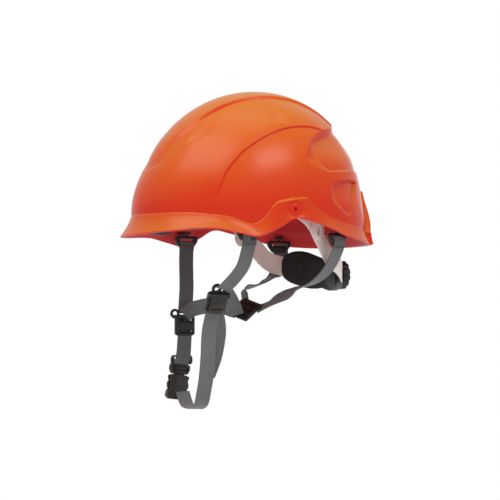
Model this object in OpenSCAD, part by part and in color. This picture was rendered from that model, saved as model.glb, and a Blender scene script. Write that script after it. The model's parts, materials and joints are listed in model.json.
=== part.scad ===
// Arborist helmet: moulded shell with a short peak, crown cradle, ratchet
// headband and four-point chin harness. The origin lies on the mid-plane at
// rim height, +Z is up, the peak points to -Y and the wearer's left is +X.
// Around the head, an angle of 0 is the front, 90 the left side, 180 the back.

/* [Shell] */
// Half width of the dome
dome_half_w = 104; // [102:0.5:106]
// Half length of the dome
dome_half_l = 134; // [132:0.5:136]
// Height of the dome's widest level
dome_base = 28; // [26:1:30]
// Rise of the dome above its widest level
dome_rise = 135.5; // [132:0.5:138]
// Shell wall thickness
wall = 2.6; // [2.2:0.1:3]
// Height of the raised centre ridge
ridge_h = 2.5; // [1:0.5:3]
// Depth of the recess that wraps round the back
recess_depth = 6; // [3:0.5:6.5]

/* [Headband] */
// Half width of the headband
band_half_w = 78; // [76:0.5:79]
// Half length of the headband in front of the ears
band_front_l = 112; // [110:0.5:113]
// Half length of the headband behind the ears
band_rear_l = 108; // [107:0.5:109]
// Thickness of the headband
band_t = 1.6; // [1.2:0.1:1.8]

/* [Ratchet] */
// Outer diameter of the adjusting knob
knob_d = 32; // [30:1:34]
// Number of teeth on the pinion
pinion_teeth = 10; // [8:2:12]
// Pitch radius of the pinion
pinion_r = 6; // [5.5:0.1:6.2]
// Middle radius of the curved racks
rack_r = 54; // [53.8:0.1:54.2]

/* [Harness] */
// Width of the webbing
web_w = 17.5; // [16:0.5:18]
// Thickness of the webbing
web_t = 1.4; // [1:0.1:1.6]
// Width of the side-release buckle
buckle_w = 26; // [24:1:28]
// Thickness of the side-release buckle
buckle_t = 9; // [8:0.5:10]

/* [Hidden] */
$fn = 48;

shell_colour = "#e8501f";
lining_colour = "#d8cdc6";
plastic_colour = "#1b1b1c";
web_colour = "#6a6c6e";
steel_colour = "silver";

// Tables against the angle round the shell, 0 at the front and 180 at the back
rim_z = [[0, 2.3], [32, 4.4], [54, 7], [66, 2.4], [74, -0.8], [83, 8],
    [91.5, 19], [101, 15.5], [112, 9], [120, 3.5], [143, -1.4], [180, -2]];
crease_z = [[0, 24.8], [16, 24.2], [30, 24.2], [43, 23.6], [57, 20.4], [61, 19.2], [66, 15],
    [70.7, 10.8], [74, 13], [78, 20], [81.6, 33.5], [84, 36.6], [97.4, 41.6], [104.5, 29.5],
    [112, 21], [122, 16.5], [151.7, 10.6], [180, 9]];
brim_out = [[0, 12], [30, 11.5], [60, 8], [75, 5], [100, 5], [120, 5.5], [180, 5]];
crease_step = [[0, 0.7], [76, 0.8], [84, 2.6], [100, 2.6], [112, 1.2], [180, 0.9]];
recess_low = [[97.5, 84], [102, 74.5], [112, 71], [124, 73], [144, 77], [180, 78]];
recess_high = [[97.5, 86], [105, 106], [116, 116], [138, 124], [160, 130], [180, 130]];
plate_h = [[-3, 4.6], [12, 6.6], [34, 5.6], [56, 4.4]];
// Half width of the centre ridge against distance back from the origin
ridge_w = [[-110, 20], [-84, 31], [-44, 36], [-5, 38], [45, 35], [80, 29], [115, 26]];
ridge_front_z = 72.8;
lean = 9;
lean_from = 30;
lean_over = 90;
// Tables against the angle round the headband
band_z = [[0, 28], [85, 30], [98, 31], [107, 22], [111, 14], [114, 6], [117, 1], [119, -3],
    [123, -9], [130, -20], [137, -24], [146, -29], [155, -34], [180, -36]];
band_h = [[0, 24], [85, 22], [98, 18], [107, 16], [113, 16], [117, 20], [119, 24], [124, 29],
    [130, 24], [155, 24], [180, 24]];
band_end = 154;
band_skew = 8;

ratchet_z = -36;
rack_axis_y = 51;
rack_t = 2.6;
housing_h = 36;
housing_half_angle = 33;
knob_y = 110;
socket_y = 3.5;
socket_z = 27.5;
socket_face = 106.6;

// Harness fittings: place of each one and its tilt
divider_left_at = [35, -55, -67];
divider_left_tilt = 30;
divider_left_ring = [-3, 14.5];
divider_right_at = [-80, -44.5, -92];
divider_right_tilt = 0;
divider_right_ring = [-12, 12];
divider_hinge = [4.1, 8.5];
ladder_at = [-80, -48.2, -132.5];
buckle_at = [-80, -52.5, -157.5];
buckle_lean = -7;
neck_slide_at = [0, -5.4, -75.9];
neck_slide_turn = [41, 17, 25];
hanger_front_at = [84, -41, 2];
hanger_rear_at = [77, 68.5, -1];
hanger_rear_turn = 20;
hanger_rear_step = 5.5;
front_reach = 15;
rear_left_reach = 13;
rear_right_reach = 9.6;

// Routes of the straps, and the way their width lies from end to end
front_left_route = [[84, -39.3, 2], [82.8, -39.4, -8], [80.5, -40, -17], [74, -41.1, -29.8],
    [67, -44.5, -39], [55, -49.4, -49.5], [46, -52, -55]];
front_right_route = [[-84, -40.7, 2], [-82.5, -41.7, -20], [-80.5, -42.2, -50], [-80, -44, -80]];
rear_left_route = [[78, 70.6, 2], [77.6, 69.6, -6.7], [76.3, 69, -12.8], [71.5, 65.7, -25.1],
    [64.5, 61.3, -35.8], [54.5, 55.4, -44.4], [45, 50.9, -49], [36.5, 45.7, -52], [29, 41.2, -55],
    [23, 33.6, -59.7], [18, 25.5, -63.8], [13, 18.6, -69.1], [9, 13.5, -72.2], [5, 6, -75.6]];
rear_right_route = [[-77.5, 76, 2], [-78, 77, -10], [-76, 76, -22], [-72, 69, -31.5],
    [-68, 62, -37.2], [-61, 51.9, -40.5], [-54, 41.1, -45.4], [-44, 25.5, -49.1], [-36, 13.4, -51.7],
    [-31, 8.1, -55.6], [-26, 5.2, -61.1], [-20, 0.6, -68.7], [-12, -2.4, -75.3]];
ear_left_route = [[2, -17, -82], [5, -21.5, -74], [13, -29.5, -65], [24, -38, -59.5], [31, -46, -60]];
ear_right_route = [[-8, -13, -77], [-28, -22, -72], [-50, -30, -71.5], [-67, -35, -73.5],
    [-75.5, -39, -76], [-77.2, -45.5, -82]];
buckle_strap_route = [[-80, -44.5, -104], [-80, -45, -114], [-79, -46, -124], [-77.5, -48, -132],
    [-79, -50, -141]];
chin_route = [[29, -57, -80], [22, -58, -100], [14, -56, -125], [0, -52, -150], [-14, -49, -167],
    [-28, -46, -180], [-42, -45, -185.5], [-54, -45.3, -186]];
chin_end_route = [[-55, -45.4, -186], [-64, -46.6, -184], [-71, -47.2, -177.5], [-75.6, -48.2, -168.5]];
lining_route = [[27, -52.5, -80], [24, -48.5, -92], [18, -45.5, -106], [8, -45.5, -128], [-5, -48, -150]];
front_left_lie = [[-0.3, 1, 0], [-0.15, 1, 0], [0.2, 1, 0]];
rear_left_lie = [[-0.3, 1, 0], [-0.3, 1, 0], [-0.32, 0.95, -0.1], [-0.36, 0.9, -0.1], [-0.41, 0.9, -0.1],
    [-0.47, 0.9, 0], [-0.5, 0.86, 0.1], [-0.56, 0.8, 0.2], [-0.72, 0.52, 0.46], [-0.76, 0.2, 0.6],
    [-0.82, 0.2, 0.5], [-0.85, 0.4, 0.35], [-0.86, 0.36, 0.36], [-0.83, 0.2, 0.5]];
rear_right_lie = [[0.4, 1, 0], [0.4, 0.9, 0.1], [0.6, 0.6, 0.2], [0.9, -0.3, 0.1], [0.9, -0.3, 0.1],
    [0.6, 0.8, 0]];

function fold_angle(a) = a > 180 ? 360 - a : a;
function ease(t) = let(c = min(1, max(0, t))) c * c * (3 - 2 * c);
function span_of(v, table, i = 0) =
    i >= len(table) - 2 || v < table[i + 1][0] ? i : span_of(v, table, i + 1);
function table_slope(table, i) =
    i == 0 || i == len(table) - 1 ? 0
    : (table[i + 1][1] - table[i - 1][1]) / (table[i + 1][0] - table[i - 1][0]);
// Smooth curve through the rows of a table, flat at both ends
function smooth(v, table) = let(
        i = span_of(v, table),
        w = table[i + 1][0] - table[i][0],
        s = min(1, max(0, (v - table[i][0]) / w)),
        s2 = s * s,
        s3 = s2 * s)
    (2 * s3 - 3 * s2 + 1) * table[i][1] + (s3 - 2 * s2 + s) * w * table_slope(table, i)
    + (3 * s2 - 2 * s3) * table[i + 1][1] + (s3 - s2) * w * table_slope(table, i + 1);

// How far the upper dome stands back
function lean_at(y, z) = lean * ease((z - lean_from) / lean_over) * (1 - ease(y / 110) / 2);

// Height that the ridge and rear plate add, and that the rear recess takes away
function relief(p, b) = let(
        side = 1 - ease((abs(p[0]) - smooth(p[1], ridge_w)) / 4 + 0.5),
        front = ease((p[2] - ridge_front_z - 0.1 * abs(p[0])) / 36),
        back = b < 90 ? 1 : ease((p[2] - 121) / 6),
        low = ease((p[2] - smooth(b, recess_low)) / 5),
        high = ease((smooth(b, recess_high) - p[2]) / 6),
        start = ease((b - 96.5) / 5),
        deep = recess_depth - 2.5 * ease((b - 115) / 30),
        depth = 1.9 + (deep - 1.9) * ease((p[2] - 80) / 34),
        drawn_in = 2.6 * ease((p[1] - 70) / 50) * ease((p[2] - 20) / 30) * (1 - ease((p[2] - 75) / 25)),
        plate_edge = 45 - 20 * min(1, max(0, (p[2] - 10) / 48)),
        plate = p[1] > 0 ? (1 - ease((abs(p[0]) - plate_edge) / 5 + 0.5)) * (1 - ease((p[2] - 55) / 6)) : 0)
    ridge_h * side * front * back - depth * low * high * start - drawn_in + smooth(p[2], plate_h) * plate;

dome_steps = 15;
brim_steps = 5;
shell_steps = 72;

// A point of the outer surface: row 0 is the rim, brim_steps the crease,
// and the last row lies just under the crown
function shell_point(a, row, inset = 0) = let(
        b = fold_angle(a),
        crease = lookup(b, crease_z),
        rim = smooth(b, rim_z),
        s = max(0, 1 - row / brim_steps),
        above = (crease - dome_base) / dome_rise,
        lift_c = above < 0 ? above * 57 : asin(above),
        lift = lift_c + (90 - lift_c) * max(0, row - brim_steps) / (dome_steps + 1),
        z = s > 0 ? crease + (rim - crease) * s
            : dome_base + dome_rise * (lift > 0 ? sin(lift) : lift / 57),
        k = lift > 0 ? cos(lift) : 1,
        step = smooth(b, crease_step),
        brim = s > 0 ? step + (smooth(b, brim_out) - step) * pow(s, 1.4) : 0,
        y = -(dome_half_l * k + brim) * cos(a),
        p = [(dome_half_w * k + brim) * sin(a), y + lean_at(y, z), z],
        up = max(0, z - dome_base) / dome_rise / dome_rise,
        n = [p[0] / dome_half_w / dome_half_w, y / dome_half_l / dome_half_l, up])
    p + n / norm(n) * (relief(p, b) - inset);

function loop_faces(rows, steps) = [for (r = [0 : rows - 2], i = [0 : steps - 1])
    let(j = (i + 1) % steps) each [
        [r * steps + i, r * steps + j, (r + 1) * steps + j],
        [r * steps + i, (r + 1) * steps + j, (r + 1) * steps + i]]];

module shell_skin() {
    rows = brim_steps + dome_steps + 1;
    count = rows * shell_steps;
    outer = [for (r = [0 : rows - 1], i = [0 : shell_steps - 1])
        shell_point(i * 360 / shell_steps, r)];
    inner = [for (r = [0 : rows - 1], i = [0 : shell_steps - 1])
        let(q = shell_point(i * 360 / shell_steps, r, wall)) r == 0 ? [q[0], q[1], outer[i][2]] : q];
    top = dome_base + dome_rise;
    crown = [[0, lean, top + ridge_h], [0, lean, top - wall]];
    skin = loop_faces(rows, shell_steps);
    lining = [for (f = skin) [f[2] + count, f[1] + count, f[0] + count]];
    edge = [for (i = [0 : shell_steps - 1]) let(j = (i + 1) % shell_steps)
        each [[j, i, i + count], [j, i + count, j + count]]];
    last = count - shell_steps;
    cap = [for (i = [0 : shell_steps - 1]) let(j = (i + 1) % shell_steps)
        each [[last + i, last + j, 2 * count],
            [last + j + count, last + i + count, 2 * count + 1]]];
    faces = [for (f = concat(skin, lining, edge, cap)) [f[2], f[1], f[0]]];
    polyhedron(points = concat(outer, inner, crown), faces = faces);
}

module both_sides() {
    children();
    mirror([1, 0, 0]) children();
}

module shell() {
    color(shell_colour) difference() {
        shell_skin();
        both_sides() translate([dome_half_w - 6, socket_y, socket_z])
            rotate([0, 90, 0]) cylinder(r = 5, h = 14);
    }
}

// Bush in the shell wall: square pocket outside, round bore behind it
module accessory_socket() {
    translate([socket_face - 4.6, socket_y, socket_z]) rotate([0, 90, 0]) difference() {
        union() {
            cylinder(r = 5, h = 4.6);
            translate([0, 0, -1]) cylinder(r = 6.5, h = 2.6);
        }
        translate([0, 0, -2]) cylinder(r = 2, h = 8);
        translate([-2.2, -2.2, 3]) cube([4.4, 4.4, 2]);
    }
}
module accessory_socket_left() color(shell_colour) accessory_socket();
module accessory_socket_right() color(shell_colour) mirror([1, 0, 0]) accessory_socket();

// Upright strip that follows the headband's oval between two angles
function band_point(a, out, z) = let(len_y = cos(a) > 0 ? band_front_l : band_rear_l)
    [(band_half_w + out) * sin(a), -(len_y + out) * cos(a), z];
// Table angle of a place on the headband, whose right side sits a little further forward
function band_angle(a) = let(b = abs(a))
    b + (a < 0 ? band_skew : 0) * ease((b - 75) / 22) * (1 - ease((b - 132) / 20));
module band_strip(from, to, out, thick, z_table, h_table, steps = 36, turned = false) {
    ring = [for (i = [0 : steps]) let(
            a = from + (to - from) * i / steps,
            b = turned ? band_angle(a) : abs(a),
            z = smooth(b, z_table),
            h = smooth(b, h_table) / 2)
        each [band_point(a, out, z - h), band_point(a, out, z + h),
            band_point(a, out - thick, z + h), band_point(a, out - thick, z - h)]];
    tube(ring, 4, steps + 1);
}

// Closed tube over rings of points, capped at both ends
module tube(points, sides, rings) {
    walls = [for (r = [0 : rings - 2], i = [0 : sides - 1]) let(
            j = (i + 1) % sides, a = r * sides, b = a + sides)
        each [[a + i, a + j, b + j], [a + i, b + j, b + i]]];
    ends = [[for (i = [sides - 1 : -1 : 0]) i],
        [for (i = [0 : sides - 1]) (rings - 1) * sides + i]];
    polyhedron(points = points, faces = concat(walls, ends));
}

module headband_oval(out, thick, steps)
    band_strip(-band_end, band_end, out, thick, band_z, band_h, steps, true);
module headband() color(lining_colour) difference() {
    headband_oval(band_t / 2, band_t, 80);
    at_ear(ear_left_b) ear_eye(14);
    mirror([1, 0, 0]) at_ear(ear_right_b) ear_eye(14);
}

// Soft channel over the lower edge of the band at the brow
brow_z = [[0, 21], [40, 21.5], [60, 24]];
brow_h = [[0, 29], [40, 29], [60, 24]];
module brow_pad() color("#4b5052") difference() {
    band_strip(-50, 50, 2.6, 6.2, brow_z, brow_h, 28);
    band_strip(-52, 52, band_t / 2, band_t, [[0, 29], [60, 29.4]], [[0, 26], [60, 26]], 29);
    both_sides() at_front_clip() translate([-7.4, -23, -8.4]) cube([14.8, 22.9, 12.8]);
}

nape_z = [[131, -31], [150, -33], [180, -35], [200, -32], [215, -27.5], [227, -26]];
nape_h = [[131, 24], [137, 36], [150, 40], [166, 34], [179, 30], [192, 34], [205, 42], [216, 42],
    [223, 34], [227, 24]];
module nape_pad() color(plastic_colour)
    band_strip(131, 227, -7.2, 4, nape_z, nape_h, 28);

// Bar from the headband out to the shell wall
front_clip_angle = 42;
front_clip_z = 24;
module at_front_clip() translate(band_point(front_clip_angle, 0, front_clip_z))
    rotate([0, 0, front_clip_angle + 7]) children();
module front_clip() at_front_clip() translate([-7, -22.5, 0]) {
    cube([14, 22, 3]);
    translate([2, 19, -8]) cube([10, 2.6, 12]);
}
module front_clip_left() color(lining_colour) front_clip();
module front_clip_right() color(lining_colour) mirror([1, 0, 0]) front_clip();

// Ring with an oval eye that hangs the headband from the shell at the ear
ear_left_b = 115.5;
ear_right_b = 104.7;
ear_left_reach = 25;
ear_right_reach = 27.5;
ear_z = 5;
ear_out = 1.9;
module at_ear(b) translate(band_point(b, ear_out, ear_z))
    rotate([90, 0, atan2(band_rear_l * sin(b), band_half_w * cos(b))]) children();
module ear_eye(deep) hull() for (y = [0.5, 6.3]) translate([0.4, y, -deep / 2]) cylinder(r = 1.9, h = deep);
module side_arm(b, reach) {
    at_ear(b) difference() {
        union() {
            translate([0, 0, -0.9]) linear_extrude(1.8) polygon([[-6.5, 15], [6.5, 15], [9.2, 9], [10, 3.4],
                [8.4, -2.4], [4.4, -6.2], [-4.4, -6.2], [-8.4, -2.4], [-10, 3.4], [-9.2, 9]]);
            hull() for (y = [2.4, 4.4]) translate([0.4, y, -0.9]) cylinder(r = 7.5, h = 3);
        }
        ear_eye(10);
    }
    at = band_point(b, ear_out, ear_z + 14.1);
    translate([at[0] - 0.9, at[1] - 6, at[2]]) cube([reach, 12, 1.8]);
}
module side_arm_left() color(lining_colour) side_arm(ear_left_b, ear_left_reach);
module side_arm_right() color(lining_colour) mirror([1, 0, 0]) side_arm(ear_right_b, ear_right_reach);

module arm_stud(b, reach) translate(band_point(b, ear_out, ear_z + 12.1) + [reach - 7, 0, 0])
    cylinder(r = 2.4, h = 5.6);
module arm_studs() color(lining_colour) {
    arm_stud(ear_left_b, ear_left_reach);
    mirror([1, 0, 0]) arm_stud(ear_right_b, ear_right_reach);
}

crown_z = 128;
crown_y = 6;
module crown_pad() color("#3a3d40") translate([0, crown_y, crown_z - 1.5]) cylinder(r = 27, h = 3);

// One strap of the cradle, from the shell wall up to the crown pad
cradle_angles = [32, 90, 150, 210, 270, 328];
cradle_foot = 44;
cradle_rise = 74;
module cradle_arm(i) {
    a = cradle_angles[i];
    steps = 10;
    route = [for (s = [0 : steps]) let(t = cradle_rise * s / steps, k = cos(t) - 0.09 * sin(2 * t))
        [100 * k * sin(a), crown_y * sin(t) - (a > 90 && a < 270 ? 128 : 130) * k * cos(a),
            cradle_foot + (crown_z - cradle_foot) * sin(t) / sin(cradle_rise)]];
    color("#8d8f90") ribbon(route, [[cos(a), sin(a), 0], [cos(a), sin(a), 0]], 18, 1.1, 1);
}
module cradle_arm_1() cradle_arm(0);
module cradle_arm_2() cradle_arm(1);
module cradle_arm_3() cradle_arm(2);
module cradle_arm_4() cradle_arm(3);
module cradle_arm_5() cradle_arm(4);
module cradle_arm_6() cradle_arm(5);

// Curved slab about the rack axis, centred on the back of the head
module rear_arc(r_in, r_out, z_low, z_high, from, to) {
    translate([0, rack_axis_y, 0]) rotate([0, 0, 90 + from]) rotate_extrude(angle = to - from)
        translate([r_in, z_low]) square([r_out - r_in, z_high - z_low]);
}

module ratchet_base() color(plastic_colour) difference() {
    rear_arc(rack_r - 4.2, rack_r - 2.2, ratchet_z - housing_h / 2, ratchet_z + housing_h / 2,
        -housing_half_angle, housing_half_angle);
    translate([0, 90, ratchet_z]) rotate([-90, 0, 0]) cylinder(r = 2.56, h = 20);
}

module ratchet_cover() {
    low = ratchet_z - housing_h / 2;
    high = ratchet_z + housing_h / 2;
    color(plastic_colour) difference() {
        union() {
            rear_arc(rack_r + 2, rack_r + 4, low, high, -housing_half_angle, housing_half_angle);
            rear_arc(rack_r - 2.2, rack_r + 2, low, low + 2, -housing_half_angle, housing_half_angle);
            rear_arc(rack_r - 2.2, rack_r + 2, high - 2, high, -housing_half_angle, housing_half_angle);
        }
        translate([0, 100, ratchet_z]) rotate([-90, 0, 0]) cylinder(r = 4.06, h = 20);
    }
}

module cover_screws() color(steel_colour) for (s = [-1, 1])
    translate([0, rack_axis_y, ratchet_z]) rotate([0, 0, 27 * s])
        translate([0, rack_r - 2.2, 0]) rotate([-90, 0, 0]) {
            cylinder(r = 1.4, h = 4.4);
            translate([0, 0, 4.2]) cylinder(r = 2.6, h = 2.4);
        }

module detent_ring() color(steel_colour) translate([0, knob_y - 1.2, ratchet_z]) rotate([-90, 0, 0])
    difference() {
        cylinder(r = 10, h = 1.4);
        translate([0, 0, -1]) cylinder(r = 8, h = 4);
    }

// Scalloped knob with a hollow back that clears the detent ring
module ratchet_knob() {
    scallops = 12;
    color(plastic_colour) translate([0, knob_y, ratchet_z]) rotate([-90, 0, 0]) difference() {
        union() {
            linear_extrude(9) difference() {
                circle(d = knob_d);
                for (i = [0 : scallops - 1]) rotate(i * 360 / scallops)
                    translate([knob_d / 2 + 1.2, 0]) circle(r = 2.8);
            }
            translate([0, 0, 9]) cylinder(r1 = knob_d / 2 - 3.2, r2 = knob_d / 2 - 6, h = 1.8);
        }
        translate([0, 0, -1]) difference() {
            cylinder(r = 11, h = 3);
            cylinder(r = 5.5, h = 3);
        }
        translate([0, 0, -1]) cylinder(r = 4, h = 7);
        cylinder(r = 2, h = 12);
    }
}

// Pinion between the racks, on a shaft that carries the knob
module drive_pinion() {
    tooth_pitch = 360 / pinion_teeth;
    color("#cfcac2") translate([0, 0, ratchet_z]) rotate([-90, 0, 0]) {
        translate([0, 0, rack_axis_y + rack_r - 1.4]) linear_extrude(rack_t + 0.2) union() {
            circle(r = pinion_r - 1.6);
            for (i = [0 : pinion_teeth - 1]) rotate((i + 0.5) * tooth_pitch)
                polygon([[pinion_r - 2.2, -0.85], [pinion_r + 0.9, -0.4],
                    [pinion_r + 0.9, 0.4], [pinion_r - 2.2, 0.85]]);
        }
        shaft_from = rack_axis_y + rack_r + 1.4;
        translate([0, 0, shaft_from]) cylinder(r = 4, h = knob_y + 6 - shaft_from);
        translate([0, 0, rack_axis_y + rack_r - 3.8]) cylinder(r = 2.5, h = 2.6);
    }
}

module knob_screw() color(steel_colour) translate([0, knob_y + 6, ratchet_z]) rotate([-90, 0, 0]) {
    cylinder(r = 2, h = 4.8);
    translate([0, 0, 4.8]) cylinder(r = 3.4, h = 1.4);
}

// Curved rack: a slab with gaps cut between its teeth on the pinion's side
rack_from = -18;
rack_to = 46;
rack_teeth = 8;
module rack(up) {
    step = 2 * 180 * pinion_r / pinion_teeth / rack_r;
    first = -(rack_teeth - 1) / 2 * step;
    tip = pinion_r - 0.7;
    root = pinion_r + 1.2;
    mirror([1, 0, 0]) translate([0, 0, ratchet_z]) mirror([0, 0, up > 0 ? 0 : 1]) difference() {
        rear_arc(rack_r - rack_t / 2, rack_r + rack_t / 2, tip, root + 7, rack_from, rack_to);
        rear_arc(rack_r - rack_t, rack_r + rack_t, tip - 1, root, rack_from - 1, first - 0.55);
        rear_arc(rack_r - rack_t, rack_r + rack_t, tip - 1, root, -first + 0.55, rack_to + 1);
        for (i = [0 : rack_teeth - 2]) rear_arc(rack_r - rack_t, rack_r + rack_t, tip - 1, root,
            first + i * step + 0.55, first + (i + 1) * step - 0.55);
    }
}
module rack_left() color(lining_colour) rack(1);
module rack_right() color(lining_colour) mirror([1, 0, 0]) rack(-1);

// Hanger loop in the plane of the side, with an arm out to the shell wall
module hanger(reach) {
    rotate([90, 0, 90]) translate([0, 0, -1.4]) linear_extrude(2.8) difference() {
        hull() {
            for (s = [-1, 1]) {
                translate([s * 9.5, 3.5]) circle(3);
                translate([s * 6, -4.5]) circle(2);
            }
        }
        translate([-8, 1]) square([16, 2.8]);
    }
    translate([-1.4, -1.6, 6]) cube([2.8, 3.2, 5]);
    translate([-1.4, -5, 8.5]) cube([reach, 10, 3]);
}
module hanger_front(side) color(plastic_colour) mirror([side < 0 ? 1 : 0, 0, 0])
    translate(hanger_front_at) hanger(front_reach);
module at_hanger_rear(side) translate(hanger_rear_at + [0, side < 0 ? hanger_rear_step : 0, 0])
    rotate([0, 0, hanger_rear_turn]) children();
function rear_reach(side) = side < 0 ? rear_right_reach : rear_left_reach;
module hanger_rear(side) color(plastic_colour) mirror([side < 0 ? 1 : 0, 0, 0])
    at_hanger_rear(side) hanger(rear_reach(side));
module hanger_front_left() hanger_front(1);
module hanger_front_right() hanger_front(-1);
module hanger_rear_left() hanger_rear(1);
module hanger_rear_right() hanger_rear(-1);

module hanger_rivets() color(plastic_colour) for (side = [-1, 1]) mirror([side < 0 ? 1 : 0, 0, 0]) {
    translate(hanger_front_at + [front_reach - 6, 0, 10]) rotate([0, 90, 0]) cylinder(r = 2, h = 5.4);
    at_hanger_rear(side) translate([rear_reach(side) - 6, 0, 10]) rotate([0, 90, 0]) cylinder(r = 2, h = 5.4);
}

// Flat webbing swept along a route; its width lies along a list of directions
function unit(v) = v / norm(v);
function mix(a, b, t) = a + (b - a) * t;
function spline(r, i, t) = let(
        p0 = r[max(0, i - 1)], p1 = r[i], p2 = r[i + 1], p3 = r[min(len(r) - 1, i + 2)])
    0.5 * (2 * p1 + (p2 - p0) * t + (2 * p0 - 5 * p1 + 4 * p2 - p3) * t * t
        + (3 * p1 - p0 - 3 * p2 + p3) * t * t * t);
function lie_at(lie, t) = let(s = t * (len(lie) - 1), i = min(floor(s), len(lie) - 2))
    mix(lie[i], lie[i + 1], s - i);
module ribbon(route, lie, w, t, cuts = 3) {
    line = [for (i = [0 : len(route) - 2], c = [0 : cuts - 1]) spline(route, i, c / cuts),
        route[len(route) - 1]];
    last = len(line) - 1;
    rings = [for (i = [0 : last]) let(
            d = unit(line[min(last, i + 1)] - line[max(0, i - 1)]),
            n = unit(cross(d, lie_at(lie, i / last))),
            u = cross(n, d))
        each [line[i] + u * w / 2 + n * t / 2, line[i] - u * w / 2 + n * t / 2,
            line[i] - u * w / 2 - n * t / 2, line[i] + u * w / 2 - n * t / 2]];
    tube(rings, 4, last + 1);
}
module webbing(route, lie, cuts = 3) color(web_colour) ribbon(route, lie, web_w, web_t, cuts);

module front_strap_left() webbing(front_left_route, front_left_lie);
module front_strap_right() webbing(front_right_route, [[0, 1, 0], [0, 1, 0]]);
module rear_strap_left() webbing(rear_left_route, rear_left_lie);
module rear_strap_right() webbing(rear_right_route, rear_right_lie);
module ear_strap_left() webbing(ear_left_route, [[0.42, 0.9, 0], [0, 0.2, 1]]);
module ear_strap_right() webbing(ear_right_route, [[0, 0, 1], [0, 0, 1], [0, 0, 1], [0, -0.7, 1]]);
module buckle_strap() webbing(buckle_strap_route, [[0, 1, 0], [0, 1, 0]]);
module chin_strap() webbing(chin_route, [[0, 1, 0], [0, 1, -0.12]]);
module chin_strap_end() webbing(chin_end_route, [[0, 1, -0.12], [0, 1, -0.12]]);
module chin_strap_lining() color("#505254") ribbon(lining_route, [[0, 1, 0], [0, 1, 0]], web_w, web_t);

module neck_slide() color(plastic_colour) translate(neck_slide_at) rotate(neck_slide_turn)
    linear_extrude(2.8, center = true) difference() {
        square([28, 28], center = true);
        for (y = [-8.3, 0, 8.3]) translate([0, y]) square([21, 4.6], center = true);
    }

// Strap divider in its own plane, with ears for the lock's hinge pin
module divider_frame(ring_at) {
    difference() {
        union() {
            translate([-2, -12, -13]) cube([4, 24, 24]);
            translate([-2, ring_at[0], ring_at[1]]) rotate([0, 90, 0]) cylinder(r = 5.6, h = 4);
            for (s = [-1, 1]) translate([1.5, s * 10.7 - 1.3, divider_hinge[1] - 2.2])
                cube([4.8, 2.6, 4.4]);
        }
        translate([-3, ring_at[0], ring_at[1]]) rotate([0, 90, 0]) cylinder(r = 2.7, h = 6);
        translate([-3, -9, 4]) cube([6, 7, 3]);
        translate([-3, 2, 4]) cube([6, 7, 3]);
        translate([-3, -8.5, -9.5]) cube([6, 17, 3]);
        for (s = [-1, 1]) translate([divider_hinge[0], s * 10.7 - 2, divider_hinge[1]])
            rotate([-90, 0, 0]) cylinder(r = 1, h = 4);
    }
}
module divider_pin() translate([divider_hinge[0], -11.8, divider_hinge[1]])
    rotate([-90, 0, 0]) cylinder(r = 1, h = 23.6);
// Lock plate that clamps the straps, hinged at its top edge
module divider_lock() difference() {
    union() {
        translate([divider_hinge[0], -9, divider_hinge[1]]) rotate([-90, 0, 0]) cylinder(r = 1.9, h = 18);
        translate([2.6, -9, -11]) cube([2.6, 18, 19]);
        translate([5, -6, -11]) cube([1.6, 12, 3]);
    }
    translate([divider_hinge[0], -10, divider_hinge[1]]) rotate([-90, 0, 0]) cylinder(r = 1.06, h = 20);
}
module at_divider_left() translate(divider_left_at) rotate([0, divider_left_tilt, 0]) children();
module at_divider_right() translate(divider_right_at) rotate([0, divider_right_tilt, 0])
    mirror([1, 0, 0]) children();
module divider_left() color(plastic_colour) at_divider_left() divider_frame(divider_left_ring);
module divider_right() color(plastic_colour) at_divider_right() divider_frame(divider_right_ring);
module divider_pin_left() color(steel_colour) at_divider_left() divider_pin();
module divider_pin_right() color(steel_colour) at_divider_right() divider_pin();
module divider_lock_left() color("#2a2320") at_divider_left() divider_lock();
module divider_lock_right() color("#2a2320") at_divider_right() divider_lock();

module ladder_bar() color(plastic_colour) translate(ladder_at) difference() {
    translate([-2.2, -13, -5.5]) cube([4.4, 26, 11]);
    translate([-3, -9, 1]) cube([6, 18, 2.6]);
    translate([-3, -9, -3.6]) cube([6, 18, 2.6]);
}

// Side-release buckle: the plug hangs on the strap, the socket slides off it
module at_buckle() translate(buckle_at) rotate([buckle_lean, 0, 0]) children();
prong_pivot = [7.6, 7.2];
prong_outline = [[6.6, 8.4], [9, 8.4], [9.2, 1.5], [12.4, 0], [13.2, -4], [12, -8], [9, -8.2], [6.6, -8.2]];
module buckle_plug() color(plastic_colour) at_buckle() difference() {
    union() {
        translate([-3.5, -12, 9]) cube([7, 24, 11]);
        translate([-1.6, -2, -10]) cube([3.2, 4, 19]);
    }
    translate([-buckle_t, -9, 13.6]) cube([2 * buckle_t, 18, 3.2]);
}
module buckle_prong(side) {
    color(plastic_colour) at_buckle() mirror([0, side < 0 ? 1 : 0, 0]) {
        rotate([90, 0, 90]) translate([0, 0, -2]) linear_extrude(4) polygon(prong_outline);
        translate([-2, prong_pivot[0], prong_pivot[1]]) rotate([0, 90, 0]) cylinder(r = 1.4, h = 4);
    }
}
module buckle_prong_front() buckle_prong(-1);
module buckle_prong_rear() buckle_prong(1);
// Two faces joined across the foot, open at the sides for the prongs
module buckle_socket() color(plastic_colour) at_buckle() difference() {
    union() {
        for (s = [-1, 1]) translate([s * (buckle_t / 2 - 0.8) - 0.8, -buckle_w / 2 + 1, -20])
            cube([1.6, buckle_w - 2, 28]);
        translate([-buckle_t / 2 + 0.8, -buckle_w / 2, -20]) cube([buckle_t - 1.6, buckle_w, 8.6]);
    }
    translate([-buckle_t, -9, -17.6]) cube([2 * buckle_t, 18, 3.4]);
    translate([-2, -2.6, -13]) cube([4, 5.2, 4]);
}

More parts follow.
